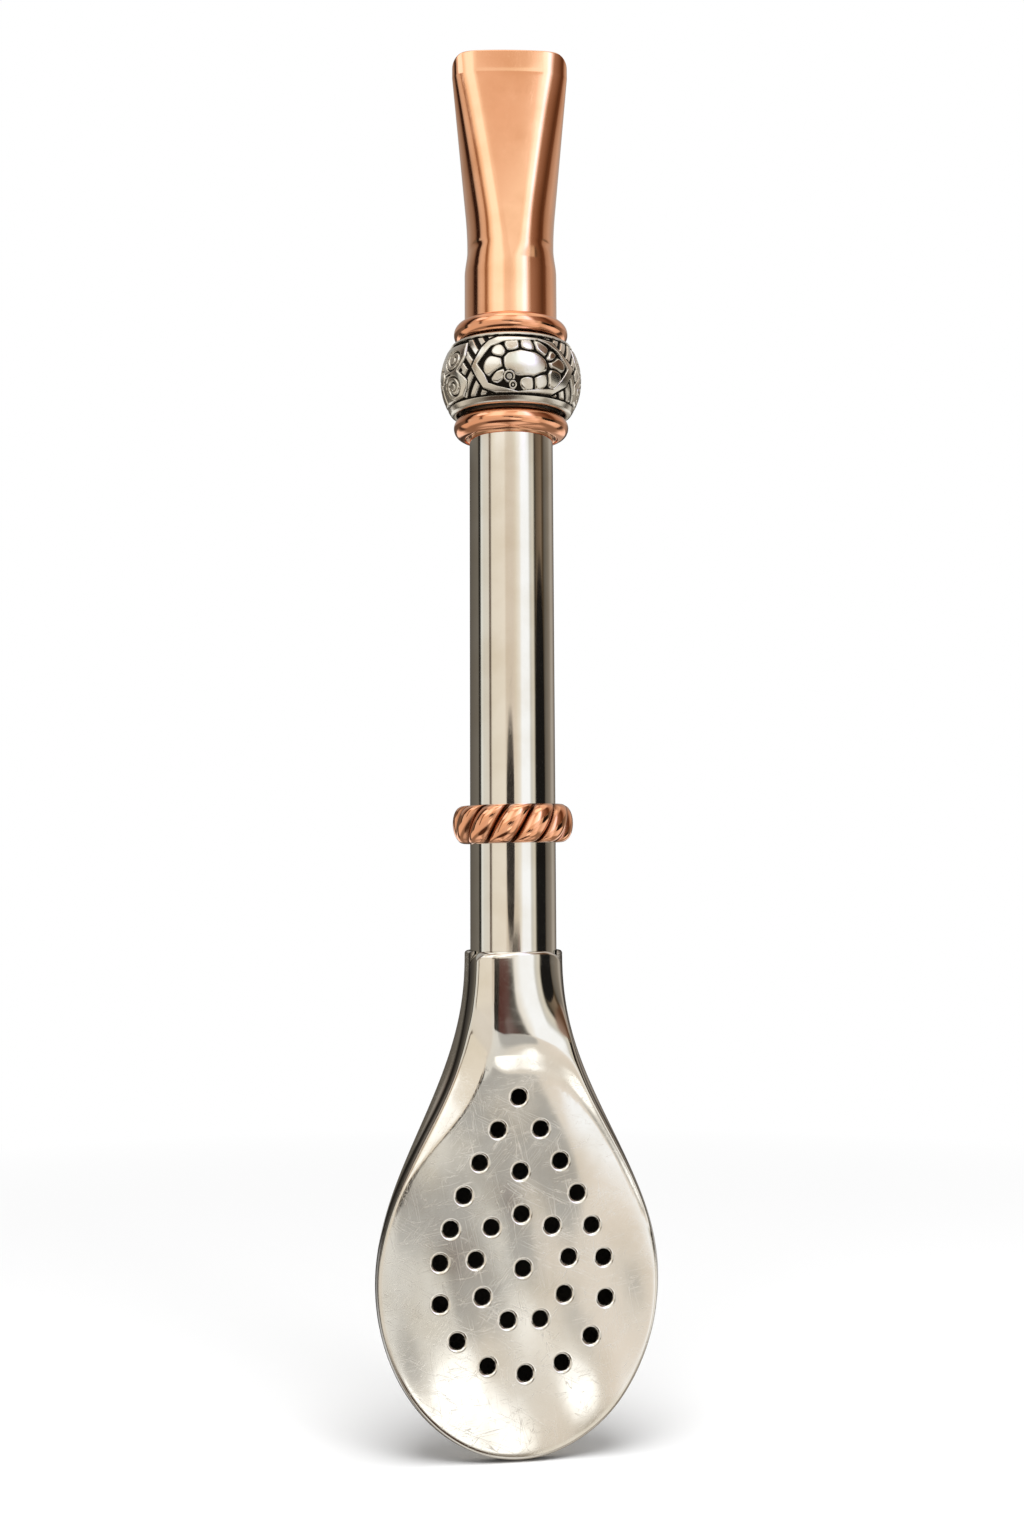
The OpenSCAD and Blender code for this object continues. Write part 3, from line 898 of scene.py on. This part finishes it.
def smooth_plate_normals(piece, x, z, count):
    """Gives the plate's outer face the exact normals of its formula."""
    step = 0.01
    slope_x = (plate_front(x + step, z) - plate_front(x - step, z)) / (2 * step)
    slope_z = (plate_front(x, z + step) - plate_front(x, z - step)) / (2 * step)
    exact = join(slope_x, -np.ones_like(x), slope_z)
    exact /= np.linalg.norm(exact, axis=1)[:, None]
    mesh = piece.data
    normals = [tuple(n.vector) for n in mesh.corner_normals]
    for face in mesh.polygons:
        if all(v < count for v in face.vertices):
            for loop, vertex in zip(face.loop_indices, face.vertices):
                normals[loop] = tuple(exact[vertex])
    mesh.normals_split_custom_set(normals)


# Back shell: the deep half of the spoon


def shell_ring(z, share, out, inset, swing):
    """Points across the back shell at one station."""
    height = z - (TIP_LEN - inset) * out
    width = share * (flank_half_w(z) - inset)
    deep = neck_share(z)
    depth = share * (BACK_DEPTH + (NECK_R - BACK_DEPTH) * deep - inset)
    centre_y = -SEAM_FRONT * (1 - deep)
    seam_angle = np.arccos(np.clip((-seam_front(z) - centre_y) / depth, -1, 1))
    a = swing * seam_angle
    return join(width * np.sin(a), centre_y + depth * np.cos(a), height)


def shell_stations():
    """Stations from the tip to the neck: height, share of the width, share of the way out to the tip."""
    stations = [(TIP_LEN, sin(a), cos(a)) for a in np.radians(steps_to(0, 90, 60))]
    top = NECK_Z - SHELL_ROUND
    heights = list(np.linspace(TIP_LEN, top, 110)[1:])
    heights += [top + SHELL_ROUND * sin(a) for a in np.radians(steps_to(0, 90, 8))]
    return stations + [(z, 1.0, 0.0) for z in heights]


def make_back_shell():
    swing = np.linspace(-1, 1, 97)
    rows = []
    for z, share, out in shell_stations():
        outer = shell_ring(z, share, out, SHELL_ROUND * rolled(NECK_Z - z, SHELL_ROUND), swing)
        inner = shell_ring(z, share, out, FILTER_WALL, swing[::-1])
        rows.append(np.concatenate([outer, inner]))
    points = np.array(rows)
    count, cols = points.shape[:2]
    faces = grid_faces(count, cols, close_rows=False)
    half = cols // 2
    for row in (0, count - 1):
        base = row * cols
        for k in range(half - 1):
            faces.append((base + k, base + k + 1, base + cols - 2 - k, base + cols - 1 - k))
    piece = make_piece("filter_shell", points, faces, sharp_deg=50)
    left = np.linalg.norm(points - points[:, :1, :], axis=-1)
    right = np.linalg.norm(points - points[:, half - 1 : half, :], axis=-1)
    # Painted shade along both edges of the shell's seam
    paint_value(piece, "seam", seam_shade(np.minimum(left, right)))
    # Faces on the inside take the second material, the painted shade of the hollow
    for face in piece.data.polygons:
        face.material_index = int(all(v % cols >= half for v in face.vertices))
    return piece


# Node helpers


def set_inputs(tree, node, inputs):
    """Sets inputs of a node, each to a value or to the output that feeds it."""
    for key, value in inputs.items():
        if isinstance(value, bpy.types.NodeSocket):
            tree.links.new(value, node.inputs[key])
        else:
            node.inputs[key].default_value = value


def put(tree, kind, inputs=None, **settings):
    """Adds a node with its settings and inputs."""
    made = tree.nodes.new("ShaderNode" + kind)
    for key, value in settings.items():
        setattr(made, key, value)
    set_inputs(tree, made, inputs or {})
    return made


def calc(tree, operation, first, second=0.0):
    """The output of a maths node."""
    return put(tree, "Math", {0: first, 1: second}, operation=operation).outputs[0]


def remap(tree, value, low, high, to_low=0.0, to_high=1.0, kind="LINEAR"):
    """Carries a value from one range to another, and holds it there at both ends."""
    inputs = {"Value": value, "From Min": low, "From Max": high, "To Min": to_low, "To Max": to_high}
    return put(tree, "MapRange", inputs, interpolation_type=kind).outputs[0]


def kept_value(tree, name):
    """The number that paint_value kept on the mesh."""
    return put(tree, "Attribute", attribute_name=name).outputs["Fac"]


def ramp(tree, factor, stops):
    """A colour ramp from (position, colour) stops."""
    made = put(tree, "ValToRGB", {"Fac": factor})
    marks = made.color_ramp.elements
    while len(marks) < len(stops):
        marks.new(0.5)
    for mark, (place, colour) in zip(marks, stops):
        mark.position = place
        mark.color = (*colour, 1.0)
    return made.outputs["Color"]


def mix_colour(tree, factor, *colours):
    """A blend of two colours, each an output or three numbers; sockets 6, 7 and 2 are colours."""
    first, second = (c if isinstance(c, bpy.types.NodeSocket) else (*c, 1.0) for c in colours)
    return put(tree, "Mix", {0: factor, 6: first, 7: second}, data_type="RGBA").outputs[2]


def new_material(name):
    material = bpy.data.materials.new(name)
    material.use_nodes = True
    return material, material.node_tree, material.node_tree.nodes["Principled BSDF"]


def spot_noise(tree, per_mm, detail, stretch=(1, 1, 1), turn_deg=(0, 0, 0), distortion=0.0):
    """Noise whose features are about 1 / per_mm millimetres, stretched along its own axes."""
    coords = put(tree, "TexCoord").outputs["Object"]
    turn = tuple(radians(a) for a in turn_deg)
    turned = put(tree, "Mapping", {"Vector": coords, "Rotation": turn}).outputs[0]
    scale = tuple(per_mm / MM * s for s in stretch)
    sized = put(tree, "Mapping", {"Vector": turned, "Scale": scale}).outputs[0]
    inputs = {"Vector": sized, "Scale": 1.0, "Detail": detail, "Distortion": distortion}
    return put(tree, "TexNoise", inputs).outputs["Fac"]


def hairlines(tree, turn_deg, per_mm):
    """Thin scratches: contour lines of a stretched noise, broken up by a second one."""
    streak = spot_noise(tree, per_mm, 1.0, (1, 1, SCRATCH_SQUEEZE), turn_deg, SCRATCH_BEND)
    away = calc(tree, "ABSOLUTE", calc(tree, "SUBTRACT", streak, 0.5))
    line = remap(tree, away, 0.0, SCRATCH_WIDTH, 1.0, 0.0)
    gaps = spot_noise(tree, per_mm * 0.35, 1.0, (1, 1, 0.3), turn_deg)
    return calc(tree, "MULTIPLY", line, remap(tree, gaps, *SCRATCH_GAPS))


def bump(tree, height, depth_mm, normal=None):
    inputs = {"Height": height, "Distance": depth_mm * MM, "Strength": 1.0}
    if normal is not None:
        inputs["Normal"] = normal
    return put(tree, "Bump", inputs).outputs["Normal"]


# Materials

SCRATCH_WIDTH = 0.012
SCRATCH_SQUEEZE = 0.06
SCRATCH_BEND = 0.4
SCRATCH_GAPS = (0.48, 0.6)
# Roughness that a scratch adds for each millimetre of its depth
SCRATCH_HAZE = 140
# Share of the wear that the polished neck has lost
NECK_GLOSS = 0.9


def polished_metal(name, colour, stain, scratch_turns, rough, wear, scratch_mm, wave_mm):
    """A polished metal with faint staining, painted shade darkening it along the seam, fine scratches and
    a slightly uneven surface.
    """
    material, tree, shader = new_material(name)
    blotch = remap(tree, spot_noise(tree, 0.18, 4.0), 0.42, 0.75)
    base = mix_colour(tree, blotch, colour, stain)
    gloss = calc(tree, "MULTIPLY", kept_value(tree, "gloss"), NECK_GLOSS)
    dull = calc(tree, "SUBTRACT", 1.0, gloss)
    scratches = 0.0
    for k, turn in enumerate(scratch_turns):
        scratches = calc(tree, "MAXIMUM", hairlines(tree, turn, 1.6 + 0.5 * k), scratches)
    scratches = calc(tree, "MULTIPLY", scratches, dull)
    smudge = calc(tree, "MULTIPLY", spot_noise(tree, 0.35, 4.0), dull)
    haze = remap(tree, smudge, 0.3, 0.75, rough, rough + wear)
    worn = calc(tree, "MULTIPLY", scratches, SCRATCH_HAZE * scratch_mm)
    waves = calc(tree, "MULTIPLY", spot_noise(tree, 0.3, 2.0, (1, 1, 0.35)), dull)
    set_inputs(tree, shader, {
        # Near the seam the colour goes to near-black: painted shade in the gap between the filter's shells
        "Base Color": mix_colour(tree, kept_value(tree, "seam"), base, PATINA_AND_SHADE),
        "Metallic": 1.0,
        "Roughness": calc(tree, "ADD", haze, worn),
        "Normal": bump(tree, scratches, -scratch_mm, bump(tree, waves, wave_mm)),
    })
    return material


def grooved_metal(name, colour, dark, rough, dark_rough, low, high, dirt_share, grain_mm):
    """Metal whose recesses stay dark and whose high spots are bright: on the bead an antique patina rubbed
    off the high spots, on the twisted ring painted shade towards the grooves.
    """
    material, tree, shader = new_material(name)
    dirt = calc(tree, "SUBTRACT", spot_noise(tree, 1.1, 5.0), 0.5)
    uneven = calc(tree, "MULTIPLY", dirt, dirt_share)
    level = remap(tree, calc(tree, "ADD", kept_value(tree, "relief"), uneven), low, high)
    grain = bump(tree, spot_noise(tree, 3.0, 4.0), grain_mm)
    set_inputs(tree, shader, {
        "Base Color": mix_colour(tree, level, dark, colour),
        "Metallic": 1.0,
        "Roughness": remap(tree, level, 0.0, 1.0, dark_rough, rough),
        "Normal": bump(tree, hairlines(tree, (0, 40, 0), 2.2), -grain_mm * 0.5, grain),
    })
    return material


def shaded_inside(name):
    """The filter's inside, near-black and dull: painted shade for the closed hollow behind the holes."""
    material, tree, shader = new_material(name)
    set_inputs(tree, shader, {
        "Base Color": mix_colour(tree, spot_noise(tree, 0.5, 5.0), INSIDE_SHADE_DARK, INSIDE_SHADE_PALE),
        "Roughness": 0.8,
        "Normal": bump(tree, spot_noise(tree, 2.0, 4.0), 0.05),
    })
    return material


COPPER = (0.9, 0.5, 0.31)
COPPER_STAIN = (0.8, 0.42, 0.24)
# Darker, redder copies of the copper and its stain for the rings: painted shade for their darker
# reflections
SHADED_RING_COPPER = (0.89, 0.44, 0.26)
SHADED_RING_STAIN = (0.8, 0.36, 0.2)
# Painted shade in the twisted ring's grooves
COPPER_GROOVE_SHADE = (0.09, 0.03, 0.012)
STEEL = (0.82, 0.8, 0.76)
STEEL_STAIN = (0.74, 0.7, 0.63)
ALLOY = (0.7, 0.665, 0.6)
# Dark, dull alloy for the sleeve: painted shade in the gaps at the bead's ends, where the sleeve shows
SHADED_SLEEVE_ALLOY = (0.2, 0.18, 0.15)
# Near-black: patina in the bead's recesses, painted shade along the filter's seam and on the sleeve
PATINA_AND_SHADE = (0.018, 0.015, 0.012)
# Near-black inside of the filter: painted shade
INSIDE_SHADE_DARK = (0.012, 0.009, 0.006)
INSIDE_SHADE_PALE = (0.035, 0.026, 0.018)

# Turns of the scratches about each axis, in degrees
UPRIGHT = ((0, 4, 0), (0, -9, 0))
SWIRLED = ((0, 12, 0), (0, 63, 0), (0, -38, 0), (0, 101, 0))

# Roughness, wear, depth of the scratches and of the waves, the last two in millimetres
mouth_copper = polished_metal("mouth_copper", COPPER, COPPER_STAIN, UPRIGHT, 0.07, 0.05, 0.0006, 0.006)
ring_copper = polished_metal("ring_copper", SHADED_RING_COPPER, SHADED_RING_STAIN, UPRIGHT, 0.07, 0.05, 0.0006, 0.004)
stem_steel = polished_metal("stem_steel", STEEL, STEEL_STAIN, UPRIGHT, 0.05, 0.04, 0.0003, 0.006)
filter_steel = polished_metal("filter_steel", STEEL, STEEL_STAIN, SWIRLED, 0.07, 0.12, 0.0018, 0.02)
shaded_sleeve_alloy = polished_metal("shaded_sleeve_alloy", SHADED_SLEEVE_ALLOY, PATINA_AND_SHADE, UPRIGHT, 0.4, 0.2, 0.004, 0.02)
# Roughness above and in the recesses, relief from dark to bright, share of dirt and depth of the grain
# On the twisted ring the dark grooves are painted shade, which makes the lobes look rounder
twist_copper = grooved_metal("twist_copper", SHADED_RING_COPPER, COPPER_GROOVE_SHADE, 0.07, 0.4, 0.15, 0.85, 0.12, 0.0015)
antique_alloy = grooved_metal("antique_alloy", ALLOY, PATINA_AND_SHADE, 0.2, 0.6, 0.2, 0.6, 0.45, 0.005)
filter_inside_shade = shaded_inside("filter_inside_shade")

# Pieces on their bodies

dress(make_mouthpiece(), "stem_assembly", "mouthpiece", "mouthpiece_copper", mouth_copper)
dress(make_stem(), "stem_assembly", "stem", "stem_steel", stem_steel)
for collar in ("upper_collar_ring", "lower_collar_ring"):
    dress(make_collar(collar), "stem_assembly", collar, "ring_copper", ring_copper)
dress(make_bead(), "bead", "bead_shell", "antique_alloy", antique_alloy)
dress(make_twisted_ring(), "slip_ring", "twisted_ring", "ring_copper", twist_copper)
dress(make_front_plate(), "filter", "filter_front_plate", "filter_steel", filter_steel)
dress(make_back_shell(), "filter", "filter_back_shell", "filter_steel", filter_steel, filter_inside_shade)

# The sleeve's dark colour is painted shade in the gaps at the bead's ends
sleeve = frame["nodes"]["bead_sleeve"]
sleeve.data.materials.clear()
sleeve.data.materials.append(shaded_sleeve_alloy)

# Camera: level with the lower stem, a little to the left, tilted up

IMAGE_H = 1536
FOCAL_PX = 1785
CAMERA_AWAY = 210.1
CAMERA_Z = 65.1
CAMERA_DEG = -8.0
CAMERA_TILT = 7.3
CAMERA_ROLL = -0.25
CENTRE_ROW = 637


def make_camera():
    data = bpy.data.cameras.new("camera")
    camera = new_object("camera", data)
    data.sensor_width = 36.0
    data.lens = FOCAL_PX / IMAGE_H * data.sensor_width
    data.shift_y = (CENTRE_ROW - IMAGE_H / 2) / IMAGE_H
    data.clip_start = 0.005
    data.clip_end = 20.0
    a = radians(CAMERA_DEG)
    place = Vector((CAMERA_AWAY * sin(a), -CAMERA_AWAY * cos(a), CAMERA_Z)) * MM
    turn = Matrix.Rotation(a, 4, "Z") @ Matrix.Rotation(radians(90 + CAMERA_TILT), 4, "X")
    roll = Matrix.Rotation(radians(CAMERA_ROLL), 4, "Z")
    camera.matrix_world = Matrix.Translation(place) @ turn @ roll
    bpy.context.scene.camera = camera


# Floor, lamps and the room that the metal mirrors

# Distances in metres between which the floor goes to plain white
FLOOR_FADE = (0.08, 0.25)


def floor_white():
    """A pale material that keeps the object's shadow and goes to plain white further out."""
    material, tree, shader = new_material("floor_white")
    inputs = {"Base Color": (0.92, 0.92, 0.92, 1.0), "Roughness": 0.9, "Specular IOR Level": 0.0}
    set_inputs(tree, shader, inputs)
    place = put(tree, "TexCoord").outputs["Object"]
    away = put(tree, "VectorMath", {0: place}, operation="LENGTH").outputs["Value"]
    seen = put(tree, "LightPath").outputs["Is Camera Ray"]
    far = calc(tree, "MULTIPLY", remap(tree, away, *FLOOR_FADE), seen)
    plain = put(tree, "Emission", {"Color": (1, 1, 1, 1), "Strength": 1.0}).outputs[0]
    both = put(tree, "MixShader", {0: far, 1: shader.outputs[0], 2: plain}).outputs[0]
    set_inputs(tree, tree.nodes["Material Output"], {"Surface": both})
    return material


def make_floor():
    """A floor that stays under the spoon when the filter is drawn off."""
    half = 3.0
    corners = [(-half, -half, 0), (half, -half, 0), (half, half, 0), (-half, half, 0)]
    mesh = bpy.data.meshes.new("floor")
    mesh.from_pydata(corners, [], [(0, 1, 2, 3)])
    mesh.materials.append(floor_white())
    floor = new_object("floor", mesh)
    floor.visible_glossy = False
    floor.parent = frame["bodies"]["filter"]


def make_lamp(name, azimuth_deg, height_deg, away, size, power):
    """A soft box facing the middle of the object; azimuth 0 is the camera's side."""
    data = bpy.data.lights.new(name, "AREA")
    data.shape = "RECTANGLE"
    data.size, data.size_y = size
    data.energy = power
    lamp = new_object(name, data)
    a = radians(azimuth_deg + CAMERA_DEG)
    e = radians(height_deg)
    way = Vector((sin(a) * cos(e), -cos(a) * cos(e), sin(e)))
    target = Vector((0, 0, LIP_Z / 2 * MM))
    lamp.location = target + way * away
    lamp.rotation_euler = way.to_track_quat("Z", "Y").to_euler()
    lamp.visible_glossy = False


# Colours of the room's bands by azimuth in degrees, 0 being the camera's side and positive its right
ROOM_LOW = [
    (-180, 0.3, 0.28, 0.24), (-174, 0.07, 0.06, 0.05), (-166, 0.07, 0.06, 0.05),
    (-161, 1.15, 1.13, 1.08), (-142, 1.2, 1.18, 1.14), (-137, 0.45, 0.4, 0.34),
    (-129, 0.06, 0.05, 0.04), (-123, 0.06, 0.05, 0.04), (-117, 0.86, 0.79, 0.68),
    (-60, 0.84, 0.77, 0.67), (-26, 0.82, 0.75, 0.66), (-10, 0.86, 0.83, 0.76),
    (8, 0.82, 0.8, 0.75), (20, 0.84, 0.78, 0.69), (34, 0.92, 0.83, 0.73),
    (44, 1.1, 1.08, 1.05), (54, 1.14, 1.12, 1.1), (62, 0.8, 0.73, 0.64),
    (74, 0.84, 0.79, 0.7), (95, 1.1, 1.08, 1.05), (116, 0.92, 0.88, 0.8),
    (121, 0.06, 0.05, 0.04), (129, 0.1, 0.08, 0.07), (136, 0.62, 0.57, 0.5),
    (144, 1.1, 1.08, 1.04), (158, 1.15, 1.13, 1.08), (164, 0.5, 0.46, 0.4),
]
ROOM_MID = [
    (-180, 0.08, 0.07, 0.06), (-152, 0.13, 0.115, 0.095), (-106, 0.19, 0.17, 0.14),
    (-102, 0.02, 0.018, 0.015), (-96, 0.02, 0.018, 0.015), (-92, 0.92, 0.92, 0.86),
    (-83, 0.8, 0.77, 0.69), (-66, 0.83, 0.77, 0.67), (-64, 0.16, 0.12, 0.09),
    (-60, 0.16, 0.12, 0.09), (-57, 0.9, 0.82, 0.69), (-20, 0.95, 0.86, 0.73),
    (-16, 0.8, 0.69, 0.56), (3, 0.8, 0.69, 0.57), (9, 0.84, 0.74, 0.6),
    (21, 0.98, 0.92, 0.82), (27, 1.14, 1.16, 1.18), (46, 1.14, 1.16, 1.18),
    (51, 0.7, 0.68, 0.62), (61, 0.8, 0.74, 0.62), (66, 0.035, 0.03, 0.02),
    (73, 0.16, 0.12, 0.08), (88, 0.25, 0.18, 0.12), (94, 0.06, 0.04, 0.02),
    (103, 0.16, 0.14, 0.115), (120, 0.26, 0.22, 0.175), (136, 0.48, 0.43, 0.37),
    (150, 0.3, 0.26, 0.22), (168, 0.06, 0.05, 0.045),
]
ROOM_HIGH = [
    (-180, 0.45, 0.44, 0.42), (-140, 0.45, 0.43, 0.4), (-116, 0.33, 0.28, 0.24),
    (-108, 0.2, 0.15, 0.12), (-103, 0.03, 0.015, 0.01), (-92, 0.03, 0.015, 0.01),
    (-87, 0.66, 0.6, 0.53), (-78, 0.84, 0.75, 0.66), (-69, 0.76, 0.64, 0.52),
    (-66, 0.34, 0.2, 0.11), (-61, 0.34, 0.2, 0.11), (-54, 1.04, 0.95, 0.76),
    (-40, 1.5, 1.52, 1.5), (-20, 1.58, 1.58, 1.56), (-12, 1.08, 1.06, 0.95),
    (0, 1.06, 1.02, 0.92), (9, 1.2, 1.28, 1.2), (15, 1.6, 1.7, 1.8),
    (26, 1.8, 1.85, 2.1), (33, 2.2, 2.2, 3.1), (38, 2, 2, 2.8),
    (45, 0.9, 0.88, 0.88), (52, 0.4, 0.28, 0.22), (75, 0.21, 0.12, 0.075),
    (86, 0.11, 0.055, 0.03), (97, 0.15, 0.075, 0.04), (106, 0.44, 0.34, 0.27),
    (125, 0.64, 0.56, 0.5), (150, 0.5, 0.47, 0.44),
]
ROOM_FLOOR = [
    (-180, 0.6, 0.57, 0.52), (-155, 1, 0.98, 0.94), (-125, 0.34, 0.3, 0.26),
    (-95, 0.86, 0.83, 0.78), (-52, 1.02, 1, 0.96), (-30, 0.62, 0.58, 0.52),
    (-12, 0.4, 0.36, 0.31), (8, 0.82, 0.79, 0.74), (40, 1.04, 1.02, 0.98),
    (62, 0.5, 0.46, 0.4), (76, 0.3, 0.26, 0.22), (100, 0.88, 0.85, 0.8),
    (140, 0.44, 0.4, 0.35),
]
# Things standing in the room: azimuth, height, half width, half height in degrees, softness, colour
ROOM_PATCHES = [
    ("grey_wall", 15.5, -11, 8.5, 5.5, 0.7, (0.5, 0.485, 0.455)),
    ("lit_sheet", 10.5, -24.5, 12, 5, 0.6, (1.65, 1.64, 1.58)),
    ("lit_floor", 46, -37, 22, 10, 0.4, (0.95, 0.9, 0.8)),
    ("dark_table", -24, -45, 38, 12, 0.4, (0.07, 0.04, 0.025)),
    ("left_window", -68, 39, 14, 10, 0.3, (1.5, 1.55, 1.6)),
    ("skylight", 0, 71, 60, 10, 0.4, (1.95, 1.9, 1.8)),
    ("lip_glow", 3, 49, 14, 10, 0.36, (0.92, 0.77, 0.63)),
    ("door", 82, 1.5, 15.5, 8.3, 0.1, (0.012, 0.011, 0.01)),
    ("figure", -6, 1.1, 10.5, 3.6, 0.2, (0.04, 0.033, 0.028)),
    ("coat", 8.5, -4, 12.5, 1.9, 0.12, (0.026, 0.02, 0.016)),
    ("coat_hem", 4.5, -5.6, 11, 1.8, 0.15, (0.026, 0.02, 0.016)),
    ("sleeve", 14.5, -4, 3.5, 1.9, 0.4, (0.1, 0.032, 0.025)),
    ("cuff", 12, -5.8, 2.4, 1.3, 0.4, (0.1, 0.032, 0.025)),
]
CEILING = (0.95, 0.89, 0.8)
TABLE = (0.32, 0.28, 0.23)
# Heights in degrees over which each band of the room takes over from the middle one
HIGH_FROM = (12.5, 17)
LOW_FROM = (-3, -7)
CEILING_FROM = (48, 60)
TABLE_FROM = (-24, -36)
FLOOR_FROM = (-46, -58)
PATCH_POWER = 2.5
# Waviness of the room's outlines, as in an old wall: its size and its sway in radians
WOBBLE_SCALE = 2.6
WOBBLE_SWAY = 0.06
SURROUND = (0.4, 0.4, 0.4)
WHITE = (1.0, 1.0, 1.0)


def patch_share(tree, azimuth, height, spot, half_size, soft):
    """1 inside an oval patch of the room, 0 outside it."""
    powers = []
    for value, middle_deg, half_deg in zip((azimuth, height), spot, half_size):
        away = calc(tree, "SUBTRACT", value, radians(middle_deg))
        away = calc(tree, "ABSOLUTE", calc(tree, "DIVIDE", away, radians(half_deg)))
        powers.append(calc(tree, "POWER", away, PATCH_POWER))
    return remap(tree, calc(tree, "ADD", *powers), 1 + soft, 1 - soft, kind="SMOOTHSTEP")


def room_angles(tree, way):
    """Azimuth from the camera's side, slightly wavy, and height of a direction."""
    parts = put(tree, "SeparateXYZ", {0: way}).outputs
    height = calc(tree, "ARCSINE", parts["Z"])
    back = calc(tree, "MULTIPLY", parts["Y"], -1.0)
    azimuth = calc(tree, "ARCTAN2", parts["X"], back)
    noise = put(tree, "TexNoise", {"Vector": way, "Scale": WOBBLE_SCALE, "Detail": 1.0})
    sway = calc(tree, "SUBTRACT", noise.outputs["Fac"], 0.5)
    sway = calc(tree, "MULTIPLY", sway, WOBBLE_SWAY)
    sway = calc(tree, "SUBTRACT", sway, radians(CAMERA_DEG))
    azimuth = calc(tree, "ADD", azimuth, sway)
    inputs = {0: azimuth, 1: pi, 2: -pi}
    return put(tree, "Math", inputs, operation="WRAP").outputs[0], height


def room_colour(tree, way):
    """What the metal mirrors in each direction: bands of height, then the things in the room."""
    azimuth, height = room_angles(tree, way)
    share = remap(tree, azimuth, -pi, pi)
    floor, low, room, high = (
        ramp(tree, share, [((deg + 180) / 360, colour) for deg, *colour in bands])
        for bands in (ROOM_FLOOR, ROOM_LOW, ROOM_MID, ROOM_HIGH)
    )
    layers = [(HIGH_FROM, high), (LOW_FROM, low), (CEILING_FROM, CEILING)]
    layers += [(TABLE_FROM, TABLE), (FLOOR_FROM, floor)]
    for heights, colour in layers:
        start, end = np.radians(heights)
        room = mix_colour(tree, remap(tree, height, start, end, kind="SMOOTHSTEP"), room, colour)
    for _, azimuth_deg, height_deg, half_w, half_h, soft, colour in ROOM_PATCHES:
        patch = patch_share(tree, azimuth, height, (azimuth_deg, height_deg), (half_w, half_h), soft)
        room = mix_colour(tree, patch, room, colour)
    return room


def make_world():
    """A pale surround for the camera, and a room for the metal to mirror."""
    world = bpy.data.worlds.new("studio")
    bpy.context.scene.world = world
    world.use_nodes = True
    tree = world.node_tree
    tree.nodes.clear()
    room = room_colour(tree, put(tree, "TexCoord").outputs["Generated"])
    path = put(tree, "LightPath").outputs
    seen = mix_colour(tree, path["Is Glossy Ray"], SURROUND, room)
    seen = mix_colour(tree, path["Is Camera Ray"], seen, WHITE)
    glow = put(tree, "Background", {"Color": seen, "Strength": 1.0})
    put(tree, "OutputWorld", {"Surface": glow.outputs[0]})


make_camera()
make_floor()
make_lamp("key_box", azimuth_deg=38, height_deg=32, away=0.6, size=(0.16, 0.34), power=0.3)
make_lamp("top_box", azimuth_deg=4, height_deg=68, away=0.6, size=(0.46, 0.46), power=4.3)
make_world()

bpy.context.scene.view_settings.view_transform = "Standard"
